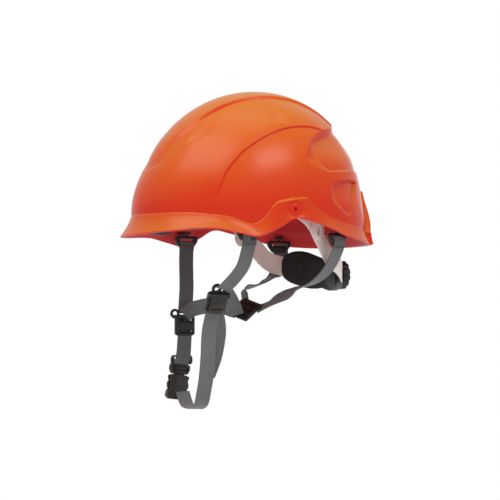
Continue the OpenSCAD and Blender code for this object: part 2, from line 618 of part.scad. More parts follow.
shell();
accessory_socket_left();
accessory_socket_right();
headband();
brow_pad();
front_clip_left();
front_clip_right();
side_arm_left();
side_arm_right();
arm_studs();
crown_pad();
cradle_arm_1();
cradle_arm_2();
cradle_arm_3();
cradle_arm_4();
cradle_arm_5();
cradle_arm_6();
nape_pad();
ratchet_base();
ratchet_cover();
cover_screws();
detent_ring();
ratchet_knob();
drive_pinion();
knob_screw();
rack_left();
rack_right();
hanger_front_left();
hanger_front_right();
hanger_rear_left();
hanger_rear_right();
hanger_rivets();
front_strap_left();
front_strap_right();
rear_strap_left();
rear_strap_right();
neck_slide();
ear_strap_left();
ear_strap_right();
divider_left();
divider_right();
divider_pin_left();
divider_pin_right();
divider_lock_left();
divider_lock_right();
buckle_strap();
ladder_bar();
buckle_plug();
buckle_prong_front();
buckle_prong_rear();
buckle_socket();
chin_strap_end();
chin_strap();
chin_strap_lining();
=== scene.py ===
import json
import math

import bmesh
import bpy
import numpy as np
from mathutils import Matrix, Vector, kdtree


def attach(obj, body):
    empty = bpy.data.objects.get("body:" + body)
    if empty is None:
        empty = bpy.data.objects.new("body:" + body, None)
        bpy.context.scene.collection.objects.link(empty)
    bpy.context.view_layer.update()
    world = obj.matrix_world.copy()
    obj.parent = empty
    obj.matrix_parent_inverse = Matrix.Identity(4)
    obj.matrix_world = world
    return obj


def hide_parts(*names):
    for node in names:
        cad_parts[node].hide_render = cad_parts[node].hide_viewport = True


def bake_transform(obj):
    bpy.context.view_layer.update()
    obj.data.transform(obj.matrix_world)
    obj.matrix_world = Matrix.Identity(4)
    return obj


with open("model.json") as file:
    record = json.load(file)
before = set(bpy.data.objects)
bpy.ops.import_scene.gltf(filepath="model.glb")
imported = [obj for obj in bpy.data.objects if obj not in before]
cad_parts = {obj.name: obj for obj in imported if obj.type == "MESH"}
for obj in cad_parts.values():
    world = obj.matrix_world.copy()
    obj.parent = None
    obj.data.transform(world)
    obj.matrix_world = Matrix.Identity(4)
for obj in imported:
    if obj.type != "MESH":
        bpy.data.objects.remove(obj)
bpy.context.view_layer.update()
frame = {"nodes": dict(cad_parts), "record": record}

MM = 0.001
scene = bpy.context.scene

# ---- camera

CAMERA_AZIMUTH = math.radians(65)
CAMERA_ELEVATION = math.radians(-3)
CAMERA_DISTANCE = 1.6
CAMERA_TARGET = Vector((0.0002, 0.0005, -0.010))
CAMERA_LENS = 104


def direction(azimuth, elevation):
    """Unit vector towards a place seen at that azimuth from the front, and that elevation."""
    return Vector((math.sin(azimuth) * math.cos(elevation),
                   -math.cos(azimuth) * math.cos(elevation), math.sin(elevation)))


def aim(obj, towards):
    """Points an object's -Z axis at a place."""
    obj.rotation_euler = (Vector(towards) - obj.location).to_track_quat("-Z", "Y").to_euler()


def placed(name, data):
    """A new object in the scene."""
    obj = bpy.data.objects.new(name, data)
    scene.collection.objects.link(obj)
    return obj


camera = placed("camera", bpy.data.cameras.new("camera"))
camera.data.lens = CAMERA_LENS
camera.location = CAMERA_TARGET + direction(CAMERA_AZIMUTH, CAMERA_ELEVATION) * CAMERA_DISTANCE
aim(camera, CAMERA_TARGET)
scene.camera = camera

# ---- small maths


def smooth(v, rows):
    """Smooth curve through the rows of a table, flat at both ends."""
    xs, ys = np.array(rows, float).T
    slope = np.zeros(len(xs))
    slope[1:-1] = (ys[2:] - ys[:-2]) / (xs[2:] - xs[:-2])
    v = np.clip(np.asarray(v, float), xs[0], xs[-1])
    i = np.clip(np.searchsorted(xs, v, side="right") - 1, 0, len(xs) - 2)
    w = xs[i + 1] - xs[i]
    s = (v - xs[i]) / w
    return ((2 * s**3 - 3 * s**2 + 1) * ys[i] + (s**3 - 2 * s**2 + s) * w * slope[i]
            + (3 * s**2 - 2 * s**3) * ys[i + 1] + (s**3 - s**2) * w * slope[i + 1])


def ease(t):
    """0 below 0, 1 above 1, and a smooth step between."""
    c = np.clip(t, 0, 1)
    return c * c * (3 - 2 * c)


def unit(v):
    """Each row of v at length 1."""
    return v / np.linalg.norm(v, axis=-1, keepdims=True)


def spline(points, cuts, closed=False):
    """Catmull-Rom curve through the points, with that many steps in each span."""
    p = np.array(points, float)
    n = len(p)
    out = []
    for i in range(n if closed else n - 1):
        if closed:
            a, b, c, d = p[i - 1], p[i], p[(i + 1) % n], p[(i + 2) % n]
        else:
            a, b, c, d = p[max(0, i - 1)], p[i], p[i + 1], p[min(n - 1, i + 2)]
        for t in np.arange(cuts) / cuts:
            out.append(0.5 * (2 * b + (c - a) * t + (2 * a - 5 * b + 4 * c - d) * t**2
                              + (3 * b - a - 3 * c + d) * t**3))
    if not closed:
        out.append(p[-1])
    return np.array(out)


# ---- materials


SHELL_RED = (0.57, 0.026, 0.005)
# Yellower orange painted on up-facing shell surfaces: painted top light
SHELL_PAINTED_TOP_LIGHT = (0.42, 0.130, 0.008)


class Look:
    """A Principled material, with short calls for the nodes that give it detail."""

    def __init__(self, name, colour, roughness, **sockets):
        self.material = bpy.data.materials.new(name)
        self.material.use_nodes = True
        self.nodes = self.material.node_tree.nodes
        self.links = self.material.node_tree.links
        self.bsdf = self.nodes["Principled BSDF"]
        self.colour = colour
        self.bsdf.inputs["Base Color"].default_value = (*colour, 1)
        self.bsdf.inputs["Roughness"].default_value = roughness
        for key, value in sockets.items():
            self.bsdf.inputs[key.replace("_", " ")].default_value = value

    def node(self, kind, **values):
        made = self.nodes.new(kind)
        for key, value in values.items():
            if key in made.inputs:
                made.inputs[key].default_value = value
            else:
                setattr(made, key, value)
        return made

    def where(self, uv=False):
        return self.node("ShaderNodeTexCoord").outputs["UV" if uv else "Object"]

    def noise(self, scale, detail=3.0, stretch=(1, 1, 1), uv=False):
        mapping = self.node("ShaderNodeMapping", Scale=stretch)
        self.links.new(self.where(uv), mapping.inputs["Vector"])
        made = self.node("ShaderNodeTexNoise", Scale=scale, Detail=detail)
        self.links.new(mapping.outputs[0], made.inputs["Vector"])
        return made.outputs["Fac"]

    def wave(self, scale, axis, distortion):
        made = self.node("ShaderNodeTexWave", bands_direction=axis, wave_profile="SIN",
                         Scale=scale, Distortion=distortion)
        self.links.new(self.where(True), made.inputs["Vector"])
        return made.outputs["Fac"]

    def ramp(self, value, low, high, start=0.3, stop=0.7):
        """Colour between low and high as the value goes from start to stop."""
        made = self.node("ShaderNodeValToRGB")
        made.color_ramp.elements[0].position = start
        made.color_ramp.elements[0].color = (*low, 1)
        made.color_ramp.elements[1].position = stop
        made.color_ramp.elements[1].color = (*high, 1)
        self.links.new(value, made.inputs["Fac"])
        return made.outputs["Color"]

    def span(self, value, low, high):
        """The value 0 to 1 stretched to low to high."""
        made = self.node("ShaderNodeMapRange")
        made.inputs["To Min"].default_value = low
        made.inputs["To Max"].default_value = high
        self.links.new(value, made.inputs["Value"])
        return made.outputs["Result"]

    def maths(self, operation, a, b):
        made = self.node("ShaderNodeMath", operation=operation)
        for socket, value in zip(made.inputs, (a, b)):
            if isinstance(value, (int, float)):
                socket.default_value = value
            else:
                self.links.new(value, socket)
        return made.outputs[0]

    def tint(self, value, low, high, start=0.3, stop=0.7):
        """Base colour from low to high multiples of the look's own colour."""
        shades = [tuple(min(1, c * k) for c in self.colour) for k in (low, high)]
        self.links.new(self.ramp(value, *shades, start, stop), self.bsdf.inputs["Base Color"])

    def rough(self, value, low, high):
        self.links.new(self.span(value, low, high), self.bsdf.inputs["Roughness"])

    def bump(self, value, height, strength=1.0):
        made = self.node("ShaderNodeBump", Strength=strength, Distance=height)
        self.links.new(value, made.inputs["Height"])
        self.links.new(made.outputs[0], self.bsdf.inputs["Normal"])


def shell_plastic():
    """Glossy moulded plastic: faint orange peel, soft wear in the gloss, and painted top light: yellower
    where it faces up.
    """
    look = Look("shell_plastic", SHELL_RED, 0.26, Specular_IOR_Level=0.17)
    # Base colour runs from the red to the orange as the surface turns upward: painted top light, not a colour
    # of the plastic
    up = look.node("ShaderNodeSeparateXYZ")
    look.links.new(look.node("ShaderNodeTexCoord").outputs["Normal"], up.inputs[0])
    top_light_mask = look.maths("ADD", up.outputs["Z"], look.maths("MULTIPLY", look.noise(9, 4), 0.06))
    look.links.new(look.ramp(top_light_mask, SHELL_RED, SHELL_PAINTED_TOP_LIGHT, 0.05, 0.95), look.bsdf.inputs["Base Color"])
    look.rough(look.noise(60, 6), 0.2, 0.32)
    look.bump(look.noise(420, 2), 0.00005, 0.4)
    return look.material


def shell_rim_painted_highlight():
    """The thin moulded edge: subsurface lets light into the plastic, and its brighter red base colour is a
    painted highlight along the lip.
    """
    look = Look("shell_rim_painted_highlight", (0.72, 0.03, 0.015), 0.35, Subsurface_Weight=0.3,
                Subsurface_Radius=(0.006, 0.001, 0.0005), Subsurface_Scale=0.5)
    look.tint(look.noise(30, 4), 0.92, 1.06)
    look.bump(look.noise(300, 3), 0.00005, 0.4)
    return look.material


def shell_inside_painted_shade():
    """The unpolished inner face of the shell, in a deep red copy of the shell plastic: painted shade."""
    look = Look("shell_inside_painted_shade", (0.80, 0.022, 0.028), 0.42)
    look.tint(look.noise(14, 4), 0.85, 1.12)
    look.bump(look.noise(260, 3), 0.0001, 0.5)
    return look.material


def milky_plastic():
    """Off-white flexible plastic that light passes into."""
    look = Look("milky_plastic", (0.90, 0.78, 0.73), 0.36, Subsurface_Weight=0.2,
                Subsurface_Radius=(0.012, 0.006, 0.004), Subsurface_Scale=0.6)
    look.tint(look.noise(30, 4), 0.93, 1.05)
    look.rough(look.noise(90, 5), 0.3, 0.46)
    look.bump(look.noise(300, 3), 0.00006, 0.5)
    return look.material


def black_plastic(name, colour, roughness):
    """Moulded plastic with a fine spark-eroded grain."""
    look = Look(name, colour, roughness)
    look.tint(look.noise(40, 5), 0.75, 1.4)
    look.rough(look.noise(120, 5), roughness - 0.06, roughness + 0.1)
    look.bump(look.noise(900, 2), 0.00008, 0.5)
    return look.material


def woven(name, colour, rib_scale=230.0):
    """Flat webbing: warp cords along the strap crossed by picks, with a plain selvedge."""
    look = Look(name, colour, 0.74, Sheen_Weight=0.25, Sheen_Roughness=0.5)
    warp = look.wave(rib_scale, "X", 0.6)
    pick = look.wave(rib_scale * 1.6, "Y", 0.4)
    weave = look.maths("MULTIPLY", warp, pick)
    fibre = look.noise(260, 4, (1, 0.25, 1), uv=True)
    soil = look.noise(22, 4)
    look.tint(look.maths("ADD", look.maths("MULTIPLY", weave, 0.5), look.maths("MULTIPLY", soil, 0.5)),
              0.72, 1.22, 0.2, 0.75)
    look.bump(look.maths("ADD", weave, look.maths("MULTIPLY", fibre, 0.6)), 0.0002, 0.6)
    return look.material


def napped(name, colour, grain):
    """Brushed cloth over foam."""
    look = Look(name, colour, 0.9, Sheen_Weight=0.12, Sheen_Roughness=0.6)
    pile = look.noise(grain, 5)
    look.tint(look.noise(35, 4), 0.7, 1.35)
    look.bump(pile, 0.0004, 0.6)
    return look.material


def brushed_steel():
    """Zinc-plated steel with turning marks."""
    look = Look("plated_steel", (0.55, 0.55, 0.57), 0.3, Metallic=1.0)
    look.tint(look.noise(70, 4), 0.8, 1.15)
    look.rough(look.noise(200, 4, (1, 1, 12)), 0.22, 0.42)
    look.bump(look.noise(600, 3, (1, 1, 8)), 0.00004, 0.4)
    return look.material


SHELL = shell_plastic()
# Deep red copy of the shell plastic for its inside and the socket pockets: painted shade
LINING = shell_inside_painted_shade()
# Rim of the shell in a brighter red than the shell itself: painted highlight along the lip
RIM = shell_rim_painted_highlight()
MILKY = milky_plastic()
BLACK = black_plastic("black_plastic", (0.013, 0.013, 0.014), 0.34)
BROWN = black_plastic("buckle_plastic", (0.022, 0.017, 0.014), 0.3)
WEB = woven("grey_webbing", (0.165, 0.168, 0.171))
# Darker copy of the grey webbing for the far-side straps, the chin lining and the sewn layers: painted shade
WEB_SHADED = woven("shaded_webbing", (0.132, 0.136, 0.14))
CRADLE = woven("cradle_webbing", (0.22, 0.22, 0.22), 180.0)
THREAD = woven("thread", (0.05, 0.052, 0.055), 30.0)
FOAM = napped("nape_foam", (0.012, 0.010, 0.010), 500)
BROW = napped("brow_cloth", (0.030, 0.058, 0.062), 380)
STEEL = brushed_steel()

# ---- mesh building


def piece(name, body, verts, faces, materials, node=None, uvs=None, soft=True, face_material=None):
    """A mesh object, in metres in the row frame, riding on a CAD body."""
    mesh = bpy.data.meshes.new(name)
    mesh.from_pydata([tuple(v) for v in verts], [], [tuple(int(i) for i in f) for f in faces])
    if uvs is not None:
        layer = mesh.uv_layers.new(name="UVMap")
        spots = np.array(uvs, float)
        index = np.zeros(len(mesh.loops), int)
        mesh.loops.foreach_get("vertex_index", index)
        layer.data.foreach_set("uv", spots[index].ravel())
    for m in materials:
        mesh.materials.append(m)
    if face_material is not None:
        mesh.polygons.foreach_set("material_index", np.array(face_material, int))
    mesh.polygons.foreach_set("use_smooth", [soft] * len(mesh.polygons))
    mesh.validate()
    mesh.update()
    return settle(placed(name, mesh), body, node)


def settle(obj, body, node=None):
    """Puts the object on its body, and lets it stand for CAD nodes."""
    if node:
        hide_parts(*([node] if isinstance(node, str) else node))
    if body:
        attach(obj, body)
    return obj


def grid_faces(rows, columns, closed):
    """Quads over a grid of points, row by row."""
    span = columns if closed else columns - 1
    return [(r * columns + i, r * columns + (i + 1) % columns,
             (r + 1) * columns + (i + 1) % columns, (r + 1) * columns + i)
            for r in range(rows - 1) for i in range(span)]


# ---- the shell

DOME_W, DOME_L, DOME_BASE, DOME_RISE = 104.0, 134.0, 28.0, 135.5
WALL = 2.6
RIDGE_H, LEDGE_H, SWOOSH_H, SHOULDER_H, REAR_DRAW = 2.5, 0.9, 1.5, 2.0, 2.6
# Tables against the angle round the shell, 0 at the front and 180 at the back
RIM_Z = [(0, 2.3), (32, 4.4), (54, 7), (66, 2.4), (74, -0.8), (83, 8),
         (91.5, 19), (101, 15.5), (112, 9), (120, 3.5), (143, -1.4), (180, -2)]
CREASE_Z = [(0, 24.8), (16, 24.2), (30, 24.2), (43, 23.6), (57, 20.4), (61, 19.2), (66, 15), (70.7, 10.8),
            (74, 13), (78, 20), (81.6, 33.5), (84, 36.6), (97.4, 41.6), (104.5, 29.5), (112, 21),
            (122, 16.5), (151.7, 10.6), (180, 9)]
BRIM_OUT = [(0, 12), (30, 11.5), (60, 8), (75, 5), (100, 5), (120, 5.5), (180, 5)]
CREASE_STEP = [(0, 0.7), (76, 0.8), (84, 2.6), (100, 2.6), (112, 1.2), (180, 0.9)]
RIDGE_W = [(-110, 20), (-84, 31), (-44, 36), (-5, 38), (45, 35), (80, 29), (115, 26)]
RIDGE_FRONT_Z = 72.8
# Outlines on the dome as (angle from the front in degrees, height)
RECESS = [(97.5, 84), (100.5, 95), (105, 106), (116, 116), (138, 124), (160, 130), (200, 130),
          (200, 78), (180, 78), (144, 77), (124, 73), (112, 71), (102, 74.5)]
SHIELD = [(113.3, 54), (118.5, 61), (140, 65), (135.5, 51), (130.8, 35), (127.4, 26),
          (120, 30), (114, 38)]
SWOOSH = [(54, 40), (56, 50), (57.5, 64), (61, 79), (66, 92), (77, 107.5), (90, 116.5), (104, 119.5),
          (115, 118.5), (127, 117)]
SHOULDER = [(25, 96), (33, 102), (51, 120), (68, 124), (82, 123), (94, 120)]
LEAN, LEAN_FROM, LEAN_OVER, REAR_LEAN = 9.0, 30.0, 90.0, 0.5
PLATE_H = [(-3, 4.6), (12, 6.6), (34, 5.6), (56, 4.4)]
SOCKET_Y, SOCKET_Z, SOCKET_FACE, SOCKET_R = 3.5, 27.5, 106.6, 5.0
# Points round the shell, and rows in its brim, dome and rolled rim
AROUND, BRIM_ROWS, DOME_ROWS, LIP_ROWS = 960, 34, 290, 6


def lean(y, z):
    """How far the upper dome stands back from an upright ellipsoid."""
    return LEAN * ease((z - LEAN_FROM) / LEAN_OVER) * (1 - REAR_LEAN * ease(y / 110))


def dome_point(angle, z, out=0.0):
    """Point of the plain dome at an angle from the front and a height."""
    up = np.clip((z - DOME_BASE) / DOME_RISE, 0, 1)
    k = np.sqrt(1 - up**2)
    a = np.radians(angle)
    y = -(DOME_L * k + out) * np.cos(a)
    return np.stack([(DOME_W * k + out) * np.sin(a), y + lean(y, z), z + 0 * a], -1)


def distance_to(points, outline, closed):
    """Distance from each point to an outline drawn on the dome, left side only."""
    drawn = spline(outline, 24, closed)
    tree = kdtree.KDTree(len(drawn))
    for i, p in enumerate(dome_point(drawn[:, 0], drawn[:, 1])):
        tree.insert(p, i)
    tree.balance()
    return np.array([tree.find(p)[2] for p in points])


def inside(angle, z, outline):
    """Whether each place lies in a closed outline."""
    drawn = spline(outline, 8, True)
    hit = np.zeros(len(angle), bool)
    for (a0, z0), (a1, z1) in zip(drawn, np.roll(drawn, -1, 0)):
        crosses = (z0 > z) != (z1 > z)
        with np.errstate(divide="ignore", invalid="ignore"):
            at = a0 + (z - z0) * (a1 - a0) / (z1 - z0)
        hit ^= crosses & (angle < at)
    return hit


def mix(a, b, t):
    return a + (b - a) * t


def relief(points, b, z):
    """How far the moulded features stand off the plain dome."""
    x, y = points[:, 0], points[:, 1]

    def sunk(outline, width, depth):
        far = distance_to(points, outline, True) * np.where(inside(b, z, outline), 1, -1)
        t = np.clip(far / width, 0, 1)
        return depth * mix(t, ease(t), 0.35)

    def above(outline, width, left, fall):
        line = spline(outline, 12)
        top = np.interp(b, line[:, 0], line[:, 1], left=left, right=-400)
        far = distance_to(points, outline, False)
        return ease(far * np.where(z > top, 1, -1) / width + 0.5) * (1 - ease(far / fall))

    # Centre ridge, which starts at a small ledge over the brow
    side = 1 - ease((x - smooth(y, RIDGE_W)) / mix(9, 3, ease((z - 105) / 30)) + 0.5)
    step = z - RIDGE_FRONT_Z - 0.1 * x
    front = ease(step / 36)
    ledge = ease(step / 1.2) * (1 - ease((step - 1) / 20)) * (1 - ease((x - 14) / 20)) * (y < 0)
    back = np.where(b < 90, 1, ease((z - 121) / 6))
    ridge = side * front * back
    # Recess at the rear, deep under its upper edge, and the shield below it
    upper = ease((z - 80) / 34)
    nose = 1 - ease((b - 106) / 7)
    high = RIDGE_H * ridge - LEDGE_H * ledge
    deep = mix(1.9, 6.5 - 2.5 * ease((b - 115) / 30), upper)
    high = high - sunk(RECESS, mix(mix(1.6, 5.5, upper), 12, nose * (1 - upper)), deep)
    lip = ease((z - 34) / 24)
    high = high - sunk(SHIELD, mix(mix(1.3, 3.0, lip), 6, 1 - ease((b - 118) / 4)), mix(1.3, 3.6, lip))
    # Long crease over the flank, and the one on the shoulder ahead of it
    swoosh_fade = ease((z - 34) / 30) * (1 - ease((b - 112) / 14))
    high = high + SWOOSH_H * swoosh_fade * above(SWOOSH, 1.8, -400, 42) * (1 - ridge)
    shoulder_fade = ease((b - 26) / 12) * (1 - ease((b - 82) / 12))
    high = high - SHOULDER_H * shoulder_fade * above(SHOULDER, 2.2, 400, 60) * (1 - ridge)
    high = high - REAR_DRAW * ease((y - 70) / 50) * ease((z - 20) / 30) * (1 - ease((z - 75) / 25))
    # Raised plate over the nape, and the flat boss round the socket
    plate_edge = mix(45, 25, np.clip((z - 10) / 48, 0, 1))
    plate = np.where(y > 0, (1 - ease((x - plate_edge) / 3.5 + 0.5)) * (1 - ease((z - 57) / 4)), 0)
    high = high + smooth(z, PLATE_H) * plate
    far = np.hypot(y - SOCKET_Y, z - SOCKET_Z)
    return mix(high, SOCKET_FACE - x, (1 - ease((far - 6.5) / 7)) * (x > 60))


def crease_height(b):
    """Height of the crease over the brim: straight runs with slightly rounded corners."""
    xs, ys = np.array(CREASE_Z, float).T
    return np.mean([np.interp(np.abs(b + shift), xs, ys) for shift in np.linspace(-1.4, 1.4, 7)], axis=0)


def plain_shell(angle, b):
    """Rows of the shell without its relief, from the rim past the crease and up to the crown."""
    rim, out, step = (smooth(b, t) for t in (RIM_Z, BRIM_OUT, CREASE_STEP))
    crease = crease_height(b)

    def brim_row(s):
        flare = step * ease(s / 0.08) + (out - step) * s**1.4
        z = crease + (rim - crease) * s
        return dome_point(angle, z, flare)

    def dome_row(t):
        low = (crease - DOME_BASE) / DOME_RISE
        low = np.where(low < 0, low, np.arcsin(np.clip(low, 0, 1)))
        lift = low + (math.pi / 2 - low) * t
        z = DOME_BASE + DOME_RISE * np.where(lift < 0, lift, np.sin(lift))
        return dome_point(angle, z)

    brim_steps = np.concatenate([np.linspace(1, 0.1, BRIM_ROWS - 8, endpoint=False),
                                 np.linspace(0.1, 0, 8, endpoint=False)])
    dome_steps = np.linspace(0, 0.997, DOME_ROWS)
    return np.array([brim_row(s) for s in brim_steps] + [dome_row(t) for t in dome_steps])


def relief_height(base, b):
    """Relief at every place of the shell: worked out on the left half, and mirrored."""
    half = AROUND // 2 + 1
    left = base[:, :half].reshape(-1, 3)
    lifted = relief(left, np.tile(b[:half], len(base)), left[:, 2]).reshape(len(base), half)
    return lifted[:, np.minimum(np.arange(AROUND), AROUND - np.arange(AROUND)) % AROUND]


def rolled_rim(rim_out, rim_in):
    """Rows of the half-round edge between the two skins."""
    middle, reach = (rim_out + rim_in) / 2, (rim_out - rim_in) / 2
    return [middle + reach * math.cos(t) - [0, 0, WALL / 2 * math.sin(t)]
            for t in np.linspace(math.pi, 0, LIP_ROWS + 1, endpoint=False)[1:]]


def shell():
    """The moulded shell: outer skin with its relief, rolled rim and plain inner skin."""
    angle = np.arange(AROUND) * 360 / AROUND
    b = np.where(angle > 180, 360 - angle, angle)
    base = plain_shell(angle, b)
    normal = unit(np.stack([base[..., 0] / DOME_W**2, base[..., 1] / DOME_L**2,
                            np.maximum(0, base[..., 2] - DOME_BASE) / DOME_RISE**2], -1))
    height = relief_height(base, b)
    outer = base + normal * height[..., None]
    inner_rows = [3, 12, 22, 32] + list(range(BRIM_ROWS + 4, len(base), 4)) + [len(base) - 1]
    inner = (base + normal * (np.minimum(height, 0) - WALL)[..., None])[inner_rows]
    lip_in = outer[0] - normal[0] * (WALL + height[0][:, None])
    lip_in[:, 2] = outer[0][:, 2]
    lip = rolled_rim(outer[0], lip_in)
    ladder = list(inner[::-1]) + [lip_in] + lip + list(outer)
    faces = grid_faces(len(ladder), AROUND, True)
    lining_faces = len(inner) * AROUND
    rim_faces = lining_faces + (len(lip) + 1) * AROUND
    # Kind 1, the inner skin, takes the deep red painted-shade copy; kind 2, the rolled rim, the painted
    # highlight
    kinds = [1 if i < lining_faces else 2 if i < rim_faces else 0 for i in range(len(faces))]
    top = DOME_BASE + DOME_RISE
    verts = np.vstack([np.concatenate(ladder), [[0, LEAN, top - WALL]], [[0, LEAN, top + RIDGE_H]]])
    centre = verts[np.array(faces)].mean(axis=1)
    from_socket = np.hypot(centre[:, 1] - SOCKET_Y, centre[:, 2] - SOCKET_Z)
    whole = (np.abs(centre[:, 0]) <= 95) | (from_socket >= SOCKET_R - 0.8)
    faces = [f for f, kept in zip(faces, whole) if kept]
    kinds = [k for k, kept in zip(kinds, whole) if kept]
    last, top_in, top_out = (len(ladder) - 1) * AROUND, len(verts) - 2, len(verts) - 1
    faces += [((i + 1) % AROUND, i, top_in) for i in range(AROUND)]
    faces += [(last + i, last + (i + 1) % AROUND, top_out) for i in range(AROUND)]
    kinds += [1] * AROUND + [0] * AROUND
    return piece("shell_moulding", "root", verts * MM, faces, [SHELL, LINING, RIM], "shell",
                 face_material=kinds)


def socket_bush(side):
    """Round bush with a square pocket, set in the flat boss over the ear."""
    half, deep, steps = 2.2, 4.0, 48  # of the square pocket, and points round the bush
    turn = np.arange(steps) * 2 * math.pi / steps
    circle = np.stack([np.cos(turn), np.sin(turn)], -1)
    square = circle / np.abs(circle).max(axis=1, keepdims=True)
    rings = [(circle * (SOCKET_R + 0.5), -1.2), (circle * (SOCKET_R + 0.5), 0.02),
             (circle * (SOCKET_R + 0.2), 0.15), (square * (half + 0.2), 0.15), (square * half, 0.0),
             (square * half, -deep)]
    verts = [(side * (SOCKET_FACE + lift), SOCKET_Y + p[0], SOCKET_Z + p[1])
             for ring, lift in rings for p in ring]
    verts.append((side * (SOCKET_FACE - deep), SOCKET_Y, SOCKET_Z))
    faces = grid_faces(len(rings), steps, True)
    # The square pocket takes the deep red copy of the plastic: painted shade
    kinds = [0] * (4 * steps) + [1] * steps
    last = (len(rings) - 1) * steps
    faces += [(last + i, last + (i + 1) % steps, len(verts) - 1) for i in range(steps)]
    kinds += [1] * steps
    name = "left" if side > 0 else "right"
    piece("socket_bush_" + name, "root", np.array(verts) * MM, faces, [SHELL, LINING],
          "accessory_socket_" + name, face_material=kinds, soft=False)


# ---- headband

BAND_W, BAND_FRONT, BAND_REAR, BAND_T = 78.0, 112.0, 108.0, 1.6
# Height of the band's middle and its own height against the angle round it
BAND_Z = [(0, 28), (85, 30), (98, 31), (107, 22), (111, 14), (114, 6), (117, 1), (119, -3), (123, -9),
          (130, -20), (137, -24), (146, -29), (155, -34), (180, -36)]
BAND_H = [(0, 24), (85, 22), (98, 18), (107, 16), (113, 16), (117, 20), (119, 24), (124, 29), (130, 24),
          (155, 24), (180, 24)]
BROW_Z = [(0, 21), (40, 21.5), (60, 24)]
BROW_H = [(0, 29), (40, 29), (60, 24)]
BAND_END = 154
ARM_SKEW = 8.0
RATCHET_Z = -36.0


def band_points(angle, out, z):
    """Points of the headband's oval, out from its middle surface."""
    a = np.radians(angle)
    length = np.where(np.cos(a) > 0, BAND_FRONT, BAND_REAR)
    return np.stack([(BAND_W + out) * np.sin(a), -(length + out) * np.cos(a), z + 0 * a], -1)


def unskewed(angle):
    """Table angle for a place on the band, whose right side sits a little further forward."""
    b = np.abs(np.where(angle > 180, angle - 360, angle))
    right = (angle > 180) | (angle < 0)
    return b + right * ARM_SKEW * ease((b - 75) / 22) * (1 - ease((b - 132) / 20))


def band(name, start, stop, out, thick, z_rows, h_rows, material, node, crown=0.0, steps=90, bulge=0.0):
    """Upright strip round the head with rounded edges; crown swells its inner face, bulge its outer."""
    angle = np.linspace(start, stop, steps + 1)
    b = unskewed(angle)
    middle, half = smooth(b, z_rows), smooth(b, h_rows) / 2
    up = np.array([-1, -0.985, -0.93, -0.6, -0.2, 0.2, 0.6, 0.93, 0.985, 1])
    inset = np.array([0.5, 0.075, 0, 0, 0, 0, 0, 0, 0.075, 0.5]) * thick
    swell = 1 - up**2
    loop = [(u, s * bulge - i) for u, i, s in zip(up, inset, swell)]
    loop += [(u, i - thick - s * crown) for u, i, s in zip(up[::-1], inset[::-1], swell[::-1])]
    rings = [band_points(angle, out + o, middle + u * half) for u, o in loop]
    verts = np.stack(rings, 1).reshape(-1, 3)
    n = len(loop)
    faces = grid_faces(steps + 1, n, True)
    faces += [tuple(range(n - 1, -1, -1)), tuple(steps * n + i for i in range(n))]
    return piece(name, "root", verts * MM, faces, [material], node)


# ---- webbing

WEB_W, WEB_T, WEB_CURL = 17.5, 1.4, 0.25
SEWN_LENGTH, THREAD_R = 12.0, 0.28
STRAP_FACE = [(-1, 0), (-0.97, 0.75), (-0.9, 1.08), (-0.8, 0.95), (-0.4, 0.98), (0, 1), (0.4, 0.98),
              (0.8, 0.95), (0.9, 1.08), (0.97, 0.75)]
STRAP_PROFILE = STRAP_FACE + [(-u, -n) for u, n in STRAP_FACE]


def strap_frame(route, hints, cuts=10):
    """Points along a strap, with its normal and width directions."""
    line = spline(route, cuts)
    along = unit(np.gradient(line, axis=0))
    at = np.linspace(0, 1, len(hints))
    where = np.linspace(0, 1, len(line))
    hint = np.stack([np.interp(where, at, [h[i] for h in hints]) for i in range(3)], -1)
    normal = unit(np.cross(along, hint))
    return line, normal, np.cross(normal, along)


def strap(name, route, hints, node=None, body="root", width=WEB_W, thick=WEB_T, material=WEB,
          ripple=0.25):
    """Flat webbing swept along a route, with selvedges, a little curl and slack."""
    line, normal, across = strap_frame(route, hints)
    run = np.concatenate([[0], np.cumsum(np.linalg.norm(np.diff(line, axis=0), axis=1))])
    rings, uvs = [], []
    for u, n in STRAP_PROFILE:
        sway = ripple * np.sin(run / 9 + 1.3 * u) * u + WEB_CURL * (u * u - 0.4)
        rings.append(line + across * (u * width / 2) + normal * (n * thick / 2 + sway)[:, None])
        uvs.append(np.stack([np.full(len(run), u * width / 2 * MM), run * MM], -1))
    n = len(STRAP_PROFILE)
    verts = np.stack(rings, 1).reshape(-1, 3)
    spots = np.stack(uvs, 1).reshape(-1, 2)
    faces = grid_faces(len(line), n, True)
    faces += [tuple(range(n - 1, -1, -1)), tuple((len(line) - 1) * n + i for i in range(n))]
    return piece(name, body, verts * MM, faces, [material], node, uvs=spots)


# Routes in millimetres, as in the part's own source
FRONT_LEFT = [(84, -39.3, 2), (82.8, -39.4, -8), (80.5, -40, -17), (74, -41.1, -29.8), (67, -44.5, -39),
              (55, -49.4, -49.5), (46, -52, -55)]
FRONT_RIGHT = [(-84, -40.7, 2), (-82.5, -41.7, -20), (-80.5, -42.2, -50), (-80, -44, -80)]
REAR_LEFT = [(78, 70.6, 2), (77.6, 69.6, -6.7), (76.3, 69, -12.8), (71.5, 65.7, -25.1), (64.5, 61.3, -35.8),
             (54.5, 55.4, -44.4), (45, 50.9, -49), (36.5, 45.7, -52), (29, 41.2, -55), (23, 33.6, -59.7),
             (18, 25.5, -63.8), (13, 18.6, -69.1), (9, 13.5, -72.2), (5, 6, -75.6)]
REAR_RIGHT = [(-77.5, 76, 2), (-78, 77, -10), (-76, 76, -22), (-72, 69, -31.5), (-68, 62, -37.2),
              (-61, 51.9, -40.5), (-54, 41.1, -45.4), (-44, 25.5, -49.1), (-36, 13.4, -51.7),
              (-31, 8.1, -55.6), (-26, 5.2, -61.1), (-20, 0.6, -68.7), (-12, -2.4, -75.3)]
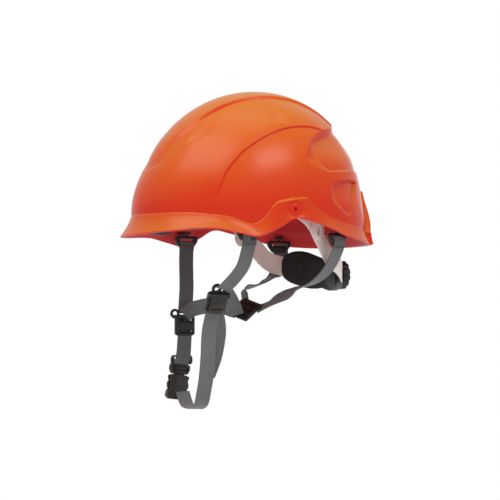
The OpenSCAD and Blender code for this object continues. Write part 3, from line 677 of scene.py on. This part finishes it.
EAR_LEFT = [(2, -17, -82), (5, -21.5, -74), (13, -29.5, -65), (24, -38, -59.5), (31, -46, -60)]
EAR_RIGHT = [(-8, -13, -77), (-28, -22, -72), (-50, -30, -71.5), (-67, -35, -73.5), (-75.5, -39, -76),
             (-77.2, -45.5, -82)]
BUCKLE_STRAP = [(-80, -44.5, -104), (-80, -45, -114), (-79, -46, -124), (-77.5, -48, -132), (-79, -50, -141)]
CHIN = [(29, -57, -80), (22, -58, -100), (14, -56, -125), (0, -52, -150), (-14, -49, -167), (-28, -46, -180),
        (-42, -45, -185.5), (-54, -45.3, -186), (-64, -46.6, -184), (-71, -47.2, -177.5),
        (-75.6, -48.2, -168.5)]
CHIN_LINING = [(27, -52.5, -80), (24, -48.5, -92), (18, -45.5, -106), (8, -45.5, -128), (-5, -48, -150)]


def stitch_row(line, across, normal, where, width, count, lift):
    """A row of short threads across a strap at one point of its line."""
    centre, side, out = line[where], across[where], normal[where]
    spots = np.linspace(-width / 2, width / 2, count + 1)
    return [(centre + side * (a + 0.25) + out * lift, centre + side * (b - 0.25) + out * lift)
            for a, b in zip(spots[:-1], spots[1:])]


def threads(name, ends):
    """Short round threads, each raised at its middle."""
    verts, faces = [], []
    for a, b in ends:
        along = unit(np.array(b) - np.array(a))
        up = unit(np.cross(along, [0.31, 0.52, 0.79]))
        side = np.cross(along, up)
        for t, r in ((0, 0.35), (0.25, 1), (0.75, 1), (1, 0.35)):
            centre = mix(np.array(a), np.array(b), t)
            verts += [centre + THREAD_R * r * (up * math.cos(k) + side * math.sin(k))
                      for k in np.arange(6) * math.pi / 3]
        first = len(verts) - 24
        faces += [tuple(first + i for i in f) for f in grid_faces(4, 6, True)]
        faces += [tuple(first + i for i in range(5, -1, -1)), tuple(first + 18 + i for i in range(6))]
    return piece(name, "root", np.array(verts) * MM, faces, [THREAD])


def sewn_end(name, route, hints):
    """Second layer where a strap turns back on itself at its start, with its seams."""
    line, normal, across = strap_frame(route, hints, 24)
    run = np.concatenate([[0], np.cumsum(np.linalg.norm(np.diff(line, axis=0), axis=1))])
    last = np.searchsorted(run, SEWN_LENGTH)
    lift = WEB_T + 0.25
    part = line[:last] + normal[:last] * lift
    at = np.linspace(0, 1, len(hints))
    hint_end = np.array([np.interp(last / len(line), at, [h[i] for h in hints]) for i in range(3)])
    # The turned-back layer uses the darker webbing copy: painted shade
    strap(name, [tuple(p) for p in part[::4]], [np.array(hints[0], float), hint_end], width=WEB_W - 0.3,
          material=WEB_SHADED)
    out = lift + (WEB_T / 2 + 0.1)
    rows = [stitch_row(line, across, normal, k, WEB_W - 4, 6, out) for k in (6, last - 8, last - 4)]
    threads(name + "_seam", [pair for row in rows for pair in row])


def straps():
    """All the straps, each with the width direction it has along its route."""
    upright = [(0, 1, 0), (0, 1, 0)]
    rear_left = [(-0.3, 1, 0), (-0.3, 1, 0), (-0.32, 0.95, -0.1), (-0.36, 0.9, -0.1), (-0.41, 0.9, -0.1),
                 (-0.47, 0.9, 0), (-0.5, 0.86, 0.1), (-0.56, 0.8, 0.2), (-0.72, 0.52, 0.46),
                 (-0.76, 0.2, 0.6), (-0.82, 0.2, 0.5), (-0.85, 0.4, 0.35), (-0.86, 0.36, 0.36),
                 (-0.83, 0.2, 0.5)]
    rear_right = [(0.4, 1, 0), (0.4, 0.9, 0.1), (0.6, 0.6, 0.2), (0.9, -0.3, 0.1), (0.9, -0.3, 0.1),
                  (0.6, 0.8, 0)]
    front_left = [(-0.3, 1, 0), (-0.15, 1, 0), (0.2, 1, 0)]
    # Straps on the far side take the darker webbing copy: painted shade
    hung = [("front", "left", FRONT_LEFT, front_left, WEB),
            ("front", "right", FRONT_RIGHT, upright, WEB_SHADED),
            ("rear", "left", REAR_LEFT, rear_left, WEB),
            ("rear", "right", REAR_RIGHT, rear_right, WEB_SHADED)]
    for where, side, route, lie, material in hung:
        strap(f"strap_{where}_{side}", route, lie, f"{where}_strap_{side}", material=material)
    strap("strap_ear_left", EAR_LEFT, [(0.42, 0.9, 0), (0, 0.2, 1)], "ear_strap_left")
    strap("strap_ear_right", EAR_RIGHT, [(0, 0, 1), (0, 0, 1), (0, 0, 1), (0, -0.7, 1)], "ear_strap_right")
    # Buckle strap and chin lining take the darker webbing copy: painted shade
    strap("strap_buckle", BUCKLE_STRAP, upright, "buckle_strap", material=WEB_SHADED)
    strap("strap_chin_lining", CHIN_LINING, upright, "chin_strap_lining", material=WEB_SHADED)
    for where, side, route, lie, material in hung:
        sewn_end(f"sewn_{where}_{side}", route, lie)
    chin = strap("strap_chin", CHIN, [(0, 1, 0), (0, 1, 0), (0, 1, -0.12)], ["chin_strap", "chin_strap_end"],
                 body=None)
    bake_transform(chin)


# ---- moulded fittings


def rounded(corners, radius, steps=6):
    """Closed outline with its corners rounded."""
    spots = [Vector(c) for c in corners]
    out = []
    for i, p in enumerate(spots):
        back, on = spots[i - 1] - p, spots[(i + 1) % len(spots)] - p
        cut = min(radius / math.tan(back.angle(on) / 2), 0.48 * back.length, 0.48 * on.length)
        start, end = p + back.normalized() * cut, p + on.normalized() * cut
        out += [(1 - t)**2 * start + 2 * t * (1 - t) * p + t * t * end for t in np.linspace(0, 1, steps + 1)]
    return [tuple(v) for v in out]


def bar(u0, u1, v0, v1, radius=0.8):
    return rounded([(u0, v0), (u1, v0), (u1, v1), (u0, v1)], radius)


def ring(u, v, radius, steps=32):
    turn = np.arange(steps) * 2 * math.pi / steps
    return [(u + radius * math.cos(t), v + radius * math.sin(t)) for t in turn]


def facing(origin, u, v):
    """Frame whose plate lies in u and v, with its thickness along u x v."""
    u, v = Vector(u).normalized(), Vector(v).normalized()
    n = u.cross(v)
    return Matrix((*zip(u, v, n, origin), (0, 0, 0, 1)))


def plate(place, loops, thick, bevel=0.4, kind=0, lift=0.0):
    """Flat moulding with rounded edges: an outline, its holes, a thickness and a material index."""
    curve = bpy.data.curves.new("plate", "CURVE")
    curve.dimensions = "2D"
    curve.fill_mode = "BOTH"
    curve.extrude = thick / 2 - bevel
    curve.bevel_depth = bevel
    curve.bevel_resolution = 2
    curve.offset = -bevel
    for loop in loops:
        line = curve.splines.new("POLY")
        line.points.add(len(loop) - 1)
        line.use_cyclic_u = True
        for point, (u, v) in zip(line.points, loop):
            point.co = (u, v, 0, 1)
    holder = placed("plate", curve)
    mesh = bpy.data.meshes.new_from_object(holder.evaluated_get(bpy.context.evaluated_depsgraph_get()))
    bpy.data.objects.remove(holder)
    mesh.transform(Matrix.Diagonal((MM, MM, MM, 1)) @ place @ Matrix.Translation((0, 0, lift)))
    mesh.polygons.foreach_set("material_index", [kind] * len(mesh.polygons))
    return mesh


def assembly(name, node, meshes, body="root", materials=(BLACK,)):
    """One piece from several plates."""
    joined = bmesh.new()
    for mesh in meshes:
        joined.from_mesh(mesh)
        bpy.data.meshes.remove(mesh)
    bmesh.ops.remove_doubles(joined, verts=joined.verts, dist=1e-6)
    mesh = bpy.data.meshes.new(name)
    joined.to_mesh(mesh)
    joined.free()
    for m in materials:
        mesh.materials.append(m)
    mesh.polygons.foreach_set("use_smooth", [True] * len(mesh.polygons))
    mesh.set_sharp_from_angle(angle=math.radians(38))
    return settle(placed(name, mesh), body, node)


HANGER_FRONT_AT = (84.0, -41.0, 2.0)
HANGER_REAR_AT = (77.0, 68.5, -1.0)
HANGER_REAR_TURN = math.radians(20)
HANGER_REAR_STEP = 5.5


def hangers():
    """Loops that the straps hang from, each on an arm from the shell wall."""
    body = rounded([(-13.8, 7), (13.8, 7), (13.8, 1), (8.4, -7), (-8.4, -7), (-13.8, 1)], 3.8)
    slot_hole = bar(-8, 8, 1.0, 3.8, 1.2)
    for where, at, turn, reach_left, reach_right in (("front", HANGER_FRONT_AT, 0.0, 14.4, 14.4),
                                                     ("rear", HANGER_REAR_AT, HANGER_REAR_TURN, 12.4, 9.0)):
        for side, s, reach in (("left", 1, reach_left), ("right", -1, reach_right)):
            out = Vector((s * math.cos(turn), math.sin(turn), 0))
            along = Vector((-s * math.sin(turn), math.cos(turn), 0))
            step = HANGER_REAR_STEP if where == "rear" and s < 0 else 0.0
            origin = Vector((s * at[0], at[1] + step, at[2]))
            flat = facing(origin, along, (0, 0, 1))
            level = facing(origin + out * (reach / 2 - 1) + Vector((0, 0, 10)), out, along)
            name = f"{where}_{side}"
            assembly("hanger_loop_" + name, "hanger_" + name, [
                plate(flat, [body, slot_hole], 2.8, 0.8),
                plate(flat, [bar(-9.5, 9.5, -5.4, 0.2, 2)], 3.6, 0.5),
                plate(flat, [bar(-1.6, 1.6, 5, 11, 0.8)], 2.8, 0.5),
                plate(level, [bar(-reach / 2 - 0.6, reach / 2, -5, 5, 1)], 3, 0.5)])


DIVIDER_LEFT_AT, DIVIDER_LEFT_TILT = (35.0, -55.0, -67.0), math.radians(30)
DIVIDER_RIGHT_AT = (-80.0, -44.5, -92.0)
DIVIDER_HINGE = (4.1, 8.5)


def dividers():
    """Strap dividers: a framed plate with a ring, and a lock plate hinged at its top."""
    for side, at, tilt, s, ring_at in (("left", DIVIDER_LEFT_AT, DIVIDER_LEFT_TILT, 1, (-3, 14.5)),
                                       ("right", DIVIDER_RIGHT_AT, 0.0, -1, (-12, 12))):
        up = Vector((math.sin(tilt), 0, math.cos(tilt)))
        out = Vector((s * math.cos(tilt), 0, -s * math.sin(tilt)))
        pin_at = Vector(at) + out * DIVIDER_HINGE[0] + up * DIVIDER_HINGE[1]
        flat = facing(at, Vector((0, s, 0)), up)
        outline = rounded([(s * u, v) for u, v in ((-12, -11), (-9.5, -13), (9.5, -13), (12, -11), (12, 9),
                                                   (9, 11), (-9, 11), (-12, 9))][::s], 2.2)
        pip = ring(s * ring_at[0], ring_at[1], 5.6)
        # Plate with its slots, ring, raised middle and foot, and the two knuckles of the hinge
        frame_parts = [
            plate(flat, [outline, bar(-9, -2, 4, 7), bar(2, 9, 4, 7), bar(-8.5, 8.5, -9.5, -6.5)], 4, 0.8),
            plate(flat, [pip, ring(s * ring_at[0], ring_at[1], 2.7)], 4, 1.2),
            plate(flat, [bar(-11, 11, -4, 2, 1.5)], 4.6, 0.6),
            plate(flat, [bar(-10.5, 10.5, -12.4, -10.4, 0.8)], 5.2, 0.6),
            plate(facing(pin_at, (0, 1, 0), up), [bar(-12, -9.4, -2.2, 2.2, 0.9)], 4.3, 0.5),
            plate(facing(pin_at, (0, 1, 0), up), [bar(9.4, 12, -2.2, 2.2, 0.9)], 4.3, 0.5)]
        assembly("divider_body_" + side, "divider_" + side, frame_parts)
        lid = facing(Vector(at) + out * 3.9, (0, 1, 0), up)
        face = math.copysign(1, lid.col[2].xyz.dot(out))
        # Lock plate, its hinge barrel, finger lip and sunk face, and the pin
        lock = [plate(lid, [bar(-9, 9, -11, 1, 2)], 2.6, 0.6),
                plate(lid, [bar(-9, 9, 0.4, 8.4, 1.5)], 2.9, 0.8, kind=1),
                plate(lid, [bar(-6, 6, -11, -8, 1)], 2.6, 0.5, lift=1.6 * face),
                plate(lid, [bar(-6.5, 6.5, -6.5, -1, 1.2)], 0.8, 0.2, lift=1.5 * face),
                plate(facing(pin_at, out, up), [ring(0, 0, 1.9)], 18, 0.3, kind=1)]
        assembly("divider_lid_" + side, "divider_lock_" + side, lock, "lock_" + side[0],
                 [BROWN, BLACK])


LADDER_AT = (-80, -48.2, -132.5)
BUCKLE_AT, BUCKLE_LEAN = Vector((-80.0, -52.5, -157.5)), math.radians(-7)


def buckle():
    """Ladder bar and side-release buckle: plug, two sprung prongs, and the socket they click into."""
    flat = facing(LADDER_AT, (0, 1, 0), (0, 0, 1))
    tabs = rounded([(-13, 2.5), (-11, 5.5), (11, 5.5), (13, 2.5), (13, -3.5), (10.5, -5.5), (-10.5, -5.5),
                    (-13, -3.5)], 1.6)
    assembly("ladder_buckle", "ladder_bar", [
        plate(flat, [tabs, bar(-9, 9, 1, 3.6), bar(-9, 9, -3.6, -1)], 4.4, 1.0)])
    up = Vector((0, -math.sin(BUCKLE_LEAN), math.cos(BUCKLE_LEAN)))
    across = Vector((0, math.cos(BUCKLE_LEAN), math.sin(BUCKLE_LEAN)))
    flat = facing(BUCKLE_AT, across, up)
    crown = rounded([(-12, 20), (12, 20), (12.2, 14), (10, 9), (-10, 9), (-12.2, 14)], 2.6)
    assembly("buckle_plug_body", "buckle_plug", [
        plate(flat, [crown, bar(-9, 9, 13.6, 16.8, 0.8)], 7, 1.4),
        plate(flat, [bar(-9.4, 9.4, 13.2, 17.2, 0.8)], 2.4, 0.3),
        plate(flat, [bar(-8.5, 8.5, 10.4, 12, 0.7)], 7.8, 0.5),
        plate(flat, [bar(-5.8, 5.8, 4, 11, 1)], 4.4, 0.6),
        plate(flat, [bar(-2, 2, -10, 11)], 3.2, 0.6)], materials=[BROWN])
    for name, s in (("front", -1), ("rear", 1)):
        button = [(s * u, v) for u, v in ((6.6, 8.4), (9, 8.4), (9.2, 1.5), (12.4, 0), (13.2, -4), (12, -8),
                                         (9, -8.2), (6.6, -8.2))][::s]
        assembly("prong_" + name, "buckle_prong_" + name, [plate(flat, [rounded(button, 1.1)], 4, 0.7)],
                 "prong_" + name[0])
    shell_face = rounded([(-12, 6.5), (-8, 8), (8, 8), (12, 6.5), (10.6, 1.5), (10.6, -9), (12.6, -12),
                          (12.6, -17), (9.5, -20), (-9.5, -20), (-12.6, -17), (-12.6, -12), (-10.6, -9),
                          (-10.6, 1.5)], 1.8)
    foot = rounded([(-13, -11.4), (13, -11.4), (13, -17), (10, -20), (-10, -20), (-13, -17)], 1.8)
    assembly("buckle_socket_body", "buckle_socket", [
        plate(flat, [shell_face], 1.8, 0.6, lift=3.6),
        plate(flat, [shell_face], 1.8, 0.6, lift=-3.6),
        plate(flat, [foot], 7.4, 0.6),
        plate(flat, [bar(-7, 7, -6, 4, 2)], 0.8, 0.3, lift=4.6)], "socket", materials=[BROWN])


SLIDE_AT, SLIDE_U, SLIDE_V = (0.0, -5.4, -75.9), (0.87, 0.40, -0.30), (-0.12, 0.77, 0.62)


def neck_slide():
    """Flat frame with three bars where the four neck straps cross."""
    flat = facing(SLIDE_AT, SLIDE_U, SLIDE_V)
    assembly("neck_slide_frame", "neck_slide", [
        plate(flat, [bar(-14, 14, -14, 14, 2.4), bar(-10.5, 10.5, -11, 11, 1)], 2.8, 0.8),
        plate(flat, [bar(-11, 11, -11.6, 11.6, 1)], 1.4, 0.3),
        plate(flat, [bar(-11, 11, -6, -2.6, 0.8)], 2.8, 0.6),
        plate(flat, [bar(-11, 11, 2.6, 6, 0.8)], 2.8, 0.6),
        plate(flat, [bar(-13, -11.2, -12, 12, 0.8)], 3.4, 0.5),
        plate(flat, [bar(11.2, 13, -12, 12, 0.8)], 3.4, 0.5)])


# ---- headband fittings


NAPE_OUT, NAPE_ROUND, NAPE_THICK = -7.2, 0.6, 3.5
NAPE_Z = [(129, -31), (150, -33), (180, -35), (200, -32), (215, -27.5), (230, -26)]
NAPE_HALF = [(0, 14.5), (0.25, 17), (0.5, 21), (0.8, 22.5), (1, 22)]


def nape_cushion():
    """Foam pad behind the ratchet, cut to a rounded outline and softly crowned."""
    rows, columns, low_angle, high_angle = 24, 72, 129.0, 229.0
    outer, inner = [], []
    for r in range(rows + 1):
        v = -math.cos(math.pi * r / rows)
        for c in range(columns + 1):
            u = -math.cos(math.pi * c / columns)
            squeeze = (1 - abs(v)**3.6)**(1 / 3.6)
            angle = mix(low_angle, high_angle, 0.5 + 0.5 * u * squeeze)
            height = smooth(abs(angle - 179) / 50, NAPE_HALF)
            middle = smooth(angle, NAPE_Z)
            crown = (1 - abs(u)**6) * (1 - abs(v)**4)
            z = middle + v * height
            outer.append(band_points(angle, NAPE_OUT - NAPE_ROUND * (1 - crown), z))
            inner.append(band_points(angle, NAPE_OUT - NAPE_ROUND - NAPE_THICK * crown**0.5, z))
    n = columns + 1
    faces = [tuple(f[::-1]) for f in grid_faces(rows + 1, n, False)]
    faces += [tuple(i + len(outer) for i in f) for f in grid_faces(rows + 1, n, False)]
    edge = ([c for c in range(n)] + [r * n + n - 1 for r in range(1, rows + 1)]
            + [rows * n + c for c in range(n - 2, -1, -1)] + [r * n for r in range(rows - 1, 0, -1)])
    faces += [(edge[i - 1], edge[i], edge[i] + len(outer), edge[i - 1] + len(outer))
              for i in range(len(edge))]
    pad = piece("nape_cushion", "root", np.array(outer + inner) * MM, faces, [FOAM], "nape_pad")


def cut_through(obj, mesh):
    """Takes the shape of a mesh out of an object's own mesh."""
    cutter = placed("cutter", mesh)
    boolean = obj.modifiers.new("cut", "BOOLEAN")
    boolean.object, boolean.solver = cutter, "EXACT"
    cut = bpy.data.meshes.new_from_object(obj.evaluated_get(bpy.context.evaluated_depsgraph_get()))
    obj.modifiers.clear()
    obj.data = cut
    bpy.data.objects.remove(cutter)


def side_arms():
    """Strip with an oval eye that hangs the headband from the shell, one at each ear."""
    for side, b, s, reach in (("left", 115.5, 1, 23.5), ("right", 104.7, -1, 27.5)):
        at = band_points(np.float64(b), 1.9, 5.0)
        along = unit(np.array([BAND_W * math.cos(math.radians(b)), BAND_REAR * math.sin(math.radians(b)), 0]))
        origin, along = Vector((s * at[0], at[1], at[2])), Vector((s * along[0], along[1], 0))
        flat = facing(origin, along, (0, 0, 1))
        strip = rounded([(-6.5, 15), (6.5, 15), (10, 7), (10, 0), (6, -6.5), (-6, -6.5), (-10, 0),
                         (-10, 7)], 5, 8)
        eye = [(0.4 + 7.5 * math.cos(t), 3.4 + 8.8 * math.sin(t)) for t in np.arange(32) * math.pi / 16]
        hole = [(0.4 + 1.9 * math.cos(t), 3.4 + 4.8 * math.sin(t)) for t in np.arange(32) * math.pi / 16]
        cut_through(bpy.data.objects["headband_strip"], plate(flat, [hole], 14, 0.1))
        # Tab from the top of the strip out to the shell wall
        shelf = facing(origin + Vector((s * (reach / 2 - 0.9), 0, 15)), (1, 0, 0), (0, 1, 0))
        assembly("ear_arm_" + side, "side_arm_" + side, [
            plate(flat, [strip, hole], 1.8, 0.5),
            plate(flat, [eye, hole], 4.2, 1.1),
            plate(shelf, [bar(-reach / 2, reach / 2, -6, 6, 2)], 1.8, 0.5)],
            materials=[MILKY])


def ratchet():
    """Curved housing behind the nape and its scalloped knob."""
    axis_y, r_out, housing_depth, knob_y, columns = 51.0, 58.0, 8.2, 110.0, 45
    angle = np.radians(np.linspace(-33, 33, columns))
    share = np.abs(np.linspace(-1, 1, columns))
    half = 18 - 9 * share**1.6
    rings = []
    # Section of the housing: share of its half height, and how far out of its curve
    for up, out in ((-1, -6), (-1, -1.2), (-0.93, 0), (-0.5, 0.5), (0.5, 0.5), (0.93, 0), (1, -1.2), (1, -6)):
        r = r_out + out
        rings.append(np.stack([r * np.sin(angle), axis_y + r * np.cos(angle), RATCHET_Z + up * half], -1))
    r = r_out - housing_depth
    inner = [np.stack([r * np.sin(angle), axis_y + r * np.cos(angle), RATCHET_Z + u * half], -1)
             for u in (1, -1)]
    verts = np.stack(rings + inner, 1).reshape(-1, 3)
    n = len(rings) + len(inner)
    faces = [tuple(f[::-1]) for f in grid_faces(columns, n, True)]
    faces += [tuple(range(n)), tuple((columns - 1) * n + i for i in range(n - 1, -1, -1))]
    piece("ratchet_housing", "root", verts * MM, faces, [BLACK],
          ["ratchet_base", "ratchet_cover"])
    face = facing((0, knob_y + 4.5, RATCHET_Z), (1, 0, 0), (0, 0, 1))
    turn = np.arange(144) * 2 * math.pi / 144
    scallop = 16.3 - 1.5 * np.maximum(0, np.cos(12 * turn))**1.5
    grip = [(r * math.cos(t), r * math.sin(t)) for r, t in zip(scallop, turn)]
    assembly("knob_grip", "ratchet_knob", [
        plate(face, [grip, ring(0, 0, 4)], 9, 1.3),
        plate(face, [ring(0, 0, 11.5, 64), ring(0, 0, 3.4)], 2.4, 0.8, lift=-5.2),
        plate(face, [ring(0, 0, 9.6, 64), ring(0, 0, 3.4)], 1.2, 0.4, lift=-6.6)], "knob")


CROWN_Z, CROWN_Y, CRADLE_ANGLES = 128.0, 6.0, (32, 90, 150, 210, 270, 328)
CRADLE_SIDE, CRADLE_FRONT, CRADLE_REAR, CRADLE_FOOT_Z = 100, 130, 127.5, 44


def cradle():
    """Webbing cradle from six anchors on the shell wall to a pad under the crown."""
    top = math.radians(74)
    for i, degrees in enumerate(CRADLE_ANGLES):
        a = math.radians(degrees)
        reach = CRADLE_REAR if math.cos(a) < -0.1 else CRADLE_FRONT
        route = []
        for t in np.linspace(0, top, 11):
            k = math.cos(t) - 0.09 * math.sin(2 * t)
            z = CRADLE_FOOT_Z + (CROWN_Z - CRADLE_FOOT_Z) * math.sin(t) / math.sin(top)
            route.append((CRADLE_SIDE * k * math.sin(a), -reach * k * math.cos(a) + CROWN_Y * math.sin(t), z))
        along = (math.cos(a), math.sin(a), 0)
        strap(f"cradle_strap_{i + 1}", route, [along, along], f"cradle_arm_{i + 1}", width=18, thick=1.1,
              material=CRADLE, ripple=0.1)
    verts, sides = [], 64
    turn = np.arange(sides) * 2 * math.pi / sides
    for r, z in ((0, -2.6), (12, -2.5), (23, -1.9), (26.2, -0.9), (27, 0), (26.2, 0.9), (23, 1.6), (12, 1.9),
                 (0, 2)):
        wave = 1 + 0.02 * np.cos(6 * turn)
        verts.append(np.stack([r * wave * np.cos(turn), CROWN_Y + r * wave * np.sin(turn),
                               CROWN_Z + z + 0 * turn], -1))
    faces = grid_faces(len(verts), sides, True)
    pad = piece("crown_cushion", "root", np.concatenate(verts) * MM, faces, [CRADLE],
                "crown_pad")


# ---- build

shell()
socket_bush(1)
socket_bush(-1)
band("headband_strip", -BAND_END, BAND_END, BAND_T / 2, BAND_T, BAND_Z, BAND_H, MILKY,
     "headband", steps=200)
brow = band("brow_cushion", -50, 50, 2.6, 6.2, BROW_Z, BROW_H, BROW, "brow_pad",
            crown=1.2, bulge=0.4)
nape_cushion()
side_arms()
hangers()
dividers()
buckle()
neck_slide()
ratchet()
cradle()
straps()

# ---- carried-over CAD nodes

NODE_LOOKS = {"shell_gloss": SHELL, "translucent_band": MILKY, "black_plastic": BLACK,
              "buckle_plastic": BROWN, "webbing": WEB, "cradle_web": CRADLE, "brow_fabric": BROW,
              "nape_foam": FOAM, "steel": STEEL}
for row in frame["record"]["subparts"]:
    kept = frame["nodes"][row["node"]]
    kept.data.materials.clear()
    kept.data.materials.append(NODE_LOOKS[row["material_slot"]])

# ---- light and stage


def lamp(name, azimuth, elevation, distance, size, power, colour=(1, 1, 1)):
    light = bpy.data.lights.new(name, "AREA")
    light.shape = "RECTANGLE"
    light.size, light.size_y = size
    light.energy = power
    light.color = colour
    obj = placed(name, light)
    obj.location = direction(math.radians(azimuth), math.radians(elevation)) * distance
    aim(obj, (0, 0, 0.02))


lamp("key_softbox", 24, 56, 1.7, (1.25, 0.75), 15, (1, 0.94, 0.84))
lamp("side_softbox", 104, 44, 1.7, (0.7, 0.4), 10, (1, 0.94, 0.84))
lamp("top_softbox", 60, 86, 1.7, (1.0, 0.8), 5, (1, 0.9, 0.7))
lamp("back_rim_softbox", 222, 6, 1.8, (0.4, 1.0), 0.7)

scene.world = bpy.data.worlds.new("studio")
scene.world.use_nodes = True
sky = scene.world.node_tree.nodes["Background"].inputs
sky["Color"].default_value = (1, 1, 1, 1)
sky["Strength"].default_value = 0.76
scene.view_settings.view_transform = "Standard"


def backdrop():
    """Pale floor and walls, well below and behind the helmet, seen only by the camera."""
    floor_z, height, reach = -0.5, 6.0, 6.0
    corners = [(-reach, -reach), (reach, -reach), (reach, reach), (-reach, reach)]
    verts = [(x, y, z) for z in (floor_z, height) for x, y in corners]
    faces = [(0, 1, 2, 3), (7, 6, 5, 4)] + [(i, i + 4, (i + 1) % 4 + 4, (i + 1) % 4) for i in range(4)]
    mesh = bpy.data.meshes.new("pale_studio")
    mesh.from_pydata(verts, [], faces)
    white = Look("pale_floor", (0, 0, 0), 0.5, Specular_IOR_Level=0.0, Emission_Color=(1, 1, 1, 1),
                 Emission_Strength=1.0)
    mesh.materials.append(white.material)
    studio = placed("pale_studio", mesh)
    for seen in ("visible_diffuse", "visible_glossy", "visible_transmission", "visible_shadow",
                 "visible_volume_scatter"):
        setattr(studio, seen, False)


backdrop()
